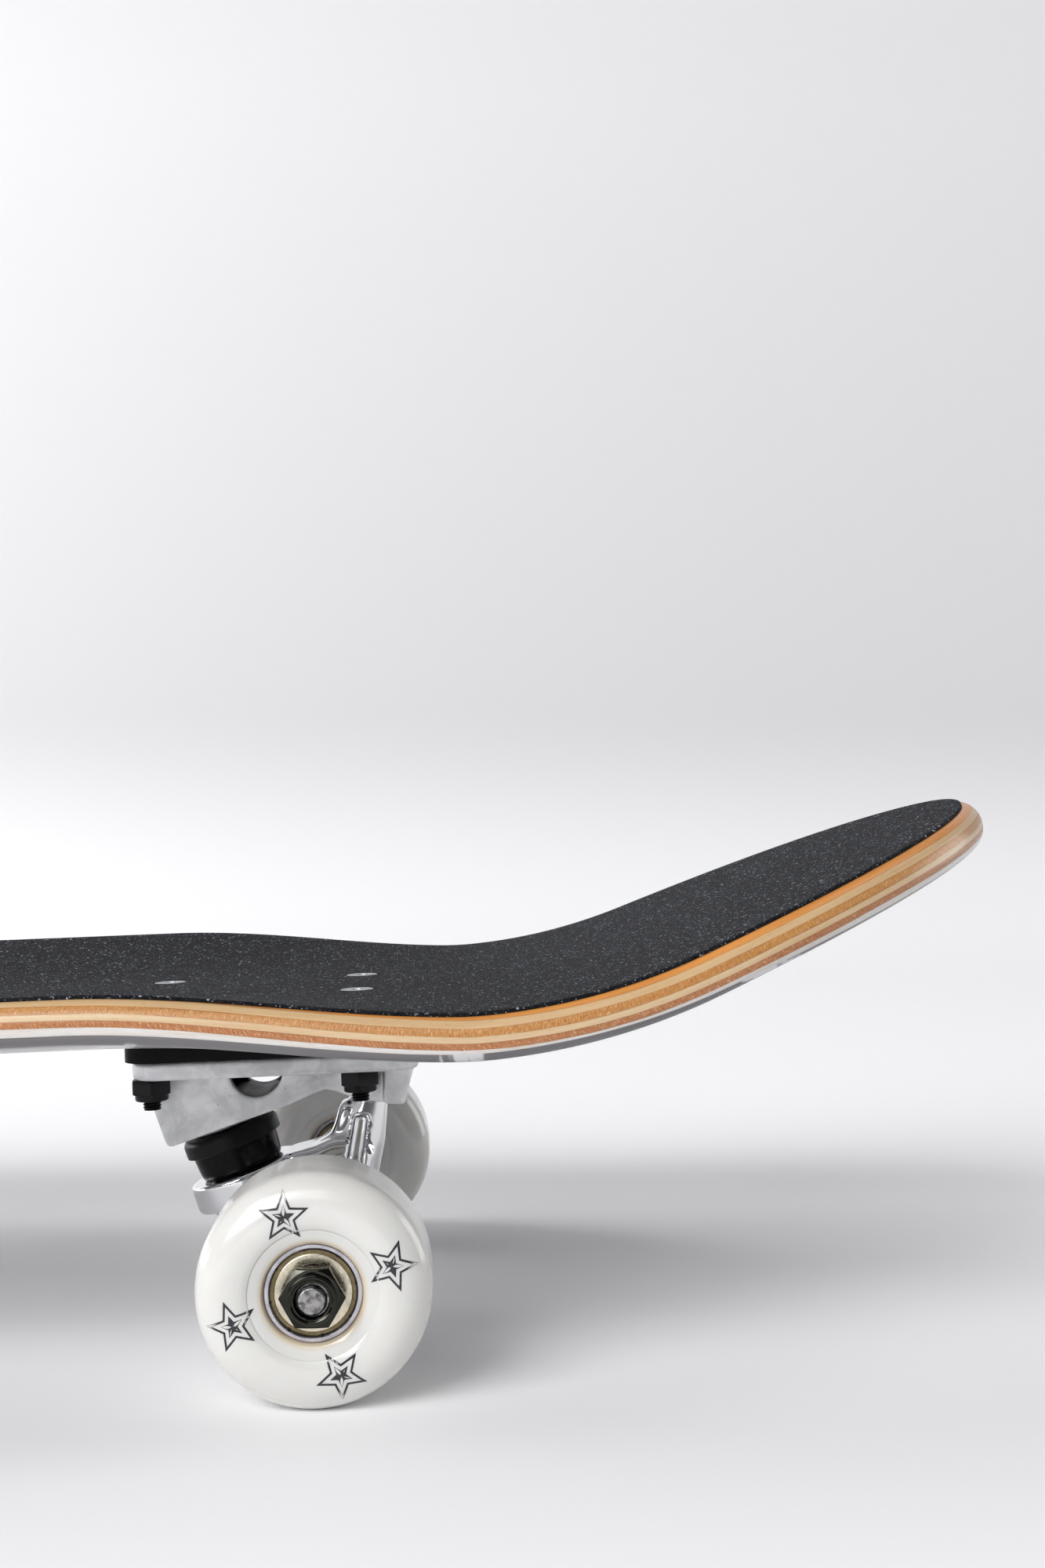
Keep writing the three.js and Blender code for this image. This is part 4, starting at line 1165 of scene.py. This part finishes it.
def printed_band(outer, inner, steps=10):
    """A thin printed band between two outlines of equal count, laid on the wheel's face."""
    points = []
    count = len(outer)
    for outline_points in (outer, inner):
        for i in range(count * steps):
            a, b = outline_points[i // steps], outline_points[(i // steps + 1) % count]
            x, z = a + (b - a) * (i % steps) / steps
            points.append((x, face_height(math.hypot(x, z)) + 0.02, z))
    total = count * steps
    faces = [(i, (i + 1) % total, total + (i + 1) % total, total + i) for i in range(total)]
    return mesh_object("band", points, faces)


def emblems():
    """Four outlined stars printed on the face, each with a small solid star inside."""
    ring_radius = 18.5
    bands = []
    for k in range(4):
        around = math.radians(-20 + 90 * k)
        centre = (ring_radius * math.cos(around), ring_radius * math.sin(around))
        for outer, inner in ((5.9, 4.6), (2.6, 0.02)):
            bands.append(printed_band(*(star(centre, size, around + 0.3) for size in (outer, inner))))
    ink = join(bands, "emblems")
    thick = ink.modifiers.new("thickness", "SOLIDIFY")
    thick.thickness = 0.03 * MM
    thick.offset = 1
    return applied(ink)


def outer_race():
    low, top = BEARING_START, BEARING_END
    profile = [(9.5, low), (10.0, low, 0.2), (11, low, 0.35), (11, top, 0.35), (9.9, top, 0.15),
               (9.75, top - 0.25), (9.5, top - 0.5), (9.2, 10.2), (9.2, 7.8), (9.5, low + 0.5)]
    return turned("outer_race", profile, 128, True, 30)


def shield():
    """The pressed shield, a dark ring of painted shade in its groove, the dark snap ring that holds it
    and the ring's notches.
    """
    top = BEARING_END
    pressed = [(6.3, -0.5), (6.6, -0.22, 0.15), (8.55, -0.2, 0.2), (8.75, -0.55, 0.1), (9.5, -0.6),
               (9.5, -0.8), (6.3, -0.8)]
    plate = paint(turned("plate", [(p[0], top + p[1], *p[2:]) for p in pressed], 128, True, 30), SHIELD)
    # Painted shade: a thin dark olive ring laid over the shield's groove, standing in for the shade in
    # that recess.
    sunk = [(8.76, top - 0.52), (9.5, top - 0.57), (9.5, top - 0.59), (8.76, top - 0.54)]
    groove = paint(turned("groove", sunk, 128, True), GROOVE_SHADE)
    wire = [(9.52, top - 0.5), (9.74, top - 0.5, 0.06), (9.74, top - 0.22, 0.06), (9.52, top - 0.22)]
    ring = turned("snap", wire, 128, True, 30)
    end_on = [(-0.28, -0.12), (0.28, -0.12), (0.28, 0.12), (-0.28, 0.12)]
    notches = []
    for k in range(8):
        notch = prism("notch", end_on, top - 0.5, top - 0.12)
        turn = Matrix.Rotation(math.radians(12 + 45 * k), 4, "Y")
        notches.append(moved(notch, turn @ Matrix.Translation((0, 0, 9.55))))
    snap = paint(join([ring, *notches], "snap"), BLACK_NUT)
    return plate, groove, snap


def ball_set():
    """Seven balls between the races."""
    middle = (BEARING_START + BEARING_END) / 2
    count, radius, ring_radius = 7, 1.95, 7.75
    profile = [(radius * math.sin(t), -radius * math.cos(t)) for t in np.linspace(0, math.pi, 13)]
    balls = []
    for k in range(count):
        a = 2 * math.pi * k / count
        place = Matrix.Translation((ring_radius * math.sin(a), middle, ring_radius * math.cos(a)))
        balls.append(moved(turned("ball", profile, 24), place))
    return join(balls, "balls")


def sleeve():
    """Both inner races and the spacer between them."""
    half = [(5.0, 0), (5.0, BEARING_START, 0.1), (5.95, BEARING_START, 0.3), (5.95, BEARING_END, 0.3),
            (4.1, BEARING_END, 0.3)]
    return turned("sleeve", mirrored(half[1:]) + half, 96, True, 30)


def speed_washer(low):
    profile = [(4.1, low), (5.6, low, 0.2), (5.6, low + 0.8, 0.2), (4.1, low + 0.8)]
    return turned("speed_washer", profile, 64, True, 30)


def flipped(obj):
    """A copy of the mesh turned to face the wheel's inner side."""
    twin = obj.copy()
    twin.data = obj.data.copy()
    bpy.context.scene.collection.objects.link(twin)
    return moved(twin, Matrix.Rotation(math.pi, 4, "Z"))


def bearing_pieces():
    """Both bearings' pieces that turn with the wheel. The inner one's are the outer one's, flipped."""
    race, balls = outer_race(), ball_set()
    plate, groove, snap = shield()
    pieces = [
        ("race_fine", race, RACE, "steel"),
        ("balls", balls, RACE, "steel"),
        ("shield", plate, SHIELD, "steel"),
        ("groove", groove, GROOVE_SHADE, "steel"),
        ("snap_ring", snap, BLACK_NUT, "black_steel"),
    ]
    both = []
    for label, outer, material, slot in pieces:
        for side, model in (("outer", outer), ("inner", flipped(outer))):
            node = f"{side}_bearing_race" if label == "race_fine" else None
            both.append((f"{side}_{label}", model, material, node, slot))
    return both


def make_wheels():
    wheel_side = [
        ("urethane", wheel_body(), URETHANE, "wheel", "wheel_urethane"),
        ("emblems", emblems(), INK, None, "wheel_urethane"),
        *bearing_pieces(),
    ]
    hanger_side = [
        ("sleeve_fine", sleeve(), RACE, "bearing_sleeve", "steel"),
        ("axle_nut_fine", axle_nut(), DARK_CHROME, "axle_nut", "black_steel"),
        ("outer_washer", speed_washer(BEARING_END + 0.02), ZINC, None, "steel"),
        ("inner_washer", speed_washer(-BEARING_END - 0.82), ZINC, None, "steel"),
    ]
    for end, end_side in ENDS.items():
        for side, sign in SIDES.items():
            name = f"{end}_{side}"
            facing = sign * end_side
            hub = Matrix.Translation((0, facing * WHEEL_MIDDLE * MM, 0))
            hub = hub @ Matrix.Rotation(0 if facing > 0 else math.pi, 4, "Z")
            for pieces, body in ((wheel_side, f"{name}_wheel_set"), (hanger_side, f"{end}_hanger_set")):
                for label, model, material, node, slot in pieces:
                    nodes = [f"{name}_{node}"] if node else []
                    piece = copy_of(model, label)
                    put(piece, f"{name}_{label}", end, body, nodes, material)
                    piece.matrix_world = truck_matrix(end_side, 0) @ hub
    for _, model, *_ in wheel_side + hanger_side:
        bpy.data.objects.remove(model)


# ---- stage ----

def floor_look():
    look = Look("pale_paper", (0.80, 0.80, 0.815), 0.85)
    paper = look.mix(look.noise(3, 3), (0.93, 0.93, 0.945), (0.95, 0.95, 0.965))
    _, _, height = look.split(look.place())
    # Painted shade: the sweep's colour darkens as it rises from the floor into the backdrop, standing in
    # for the backdrop getting less light.
    look.set("Base Color", look.mix(look.span(height, 0.0, 0.25), paper, (0.66, 0.66, 0.675)))
    look.bump(look.noise(400, 3), 0.05, 0.2)
    return look.material


def make_stage():
    """A pale sweep: level floor that curves up into a backdrop behind the board."""
    near, far, height, bend, half_width = -3200, 2000, 1900, 1100, 2400
    bend_start = far - bend
    profile = [(near, 0), (bend_start, 0)]
    for angle in np.linspace(0.08, math.pi / 2, 24):
        profile.append((bend_start + bend * math.sin(angle), bend * (1 - math.cos(angle))))
    profile.append((far, height))
    points = [(x, y, z) for y, z in profile for x in (-half_width, half_width)]
    faces = [(2 * i, 2 * i + 1, 2 * i + 3, 2 * i + 2) for i in range(len(profile) - 1)]
    sweep = paint(mesh_object("sweep", points, faces, 60), floor_look())


def area_light(name, place, aim, size, power):
    lamp = bpy.data.lights.new(name, "AREA")
    lamp.shape = "RECTANGLE"
    lamp.size, lamp.size_y = size
    lamp.energy = power
    obj = bpy.data.objects.new(name, lamp)
    bpy.context.scene.collection.objects.link(obj)
    obj.location = place
    obj.rotation_euler = (Vector(aim) - Vector(place)).to_track_quat("-Z", "Y").to_euler()
    obj.visible_camera = False


def studio_world():
    """A dim surround for the metals to mirror, which is seen as pale as the floor."""
    dim_color, dim_strength, seen_color = (0.96, 0.96, 1.0, 1), 0.11, (0.82, 0.82, 0.835, 1)
    world = bpy.data.worlds.new("studio")
    world.use_nodes = True
    nodes, links = world.node_tree.nodes, world.node_tree.links
    dim = nodes["Background"]
    dim.inputs["Color"].default_value = dim_color
    dim.inputs["Strength"].default_value = dim_strength
    pale = nodes.new("ShaderNodeBackground")
    pale.inputs["Color"].default_value = seen_color
    seen = nodes.new("ShaderNodeLightPath").outputs["Is Camera Ray"]
    either = nodes.new("ShaderNodeMixShader")
    links.new(seen, either.inputs[0])
    links.new(dim.outputs[0], either.inputs[1])
    links.new(pale.outputs[0], either.inputs[2])
    links.new(either.outputs[0], nodes["World Output"].inputs["Surface"])
    return world


def make_lights():
    scene = bpy.context.scene
    scene.view_settings.view_transform = "Standard"
    scene.world = studio_world()
    nose_truck, wall = (0.2, 0, 0.05), (1.1, 2.0, 0.9)
    area_light("key", (-1.75, -2.4, 1.85), nose_truck, (2.1, 2.1), 112)
    area_light("front", (-0.7, -3.0, 2.68), nose_truck, (2.7, 1.8), 30)
    area_light("left_back", (-2.35, 0.675, 0.8), nose_truck, (1.35, 1.5), 70)
    area_light("right_back", (2.75, 0.675, 0.8), nose_truck, (1.35, 1.5), 18)
    area_light("backdrop", (1.4, 0.6, 2.6), wall, (1.4, 1.0), 8)


def make_camera():
    """The viewpoint: close to the nose truck, low, and turned slightly towards the nose."""
    camera = bpy.data.cameras.new("camera")
    camera.sensor_width = 36
    camera.lens = 42.02
    camera.clip_start = 0.01
    obj = bpy.data.objects.new("camera", camera)
    bpy.context.scene.collection.objects.link(obj)
    axle_x = (MIDDLE_X + AXLE_DISTANCE) * MM
    ahead_of_axle, away, above_floor = 0.02378, 0.50166, 0.13440
    obj.location = (axle_x + ahead_of_axle, -away, above_floor)
    yaw, pitch = math.radians(3.163), math.radians(0.638)
    level = math.cos(pitch)
    heading = Vector((math.sin(yaw) * level, math.cos(yaw) * level, math.sin(pitch)))
    obj.rotation_euler = heading.to_track_quat("-Z", "Y").to_euler()
    bpy.context.scene.camera = obj


make_deck()
make_bolts()
make_trucks()
make_wheels()
make_stage()
make_lights()
make_camera()
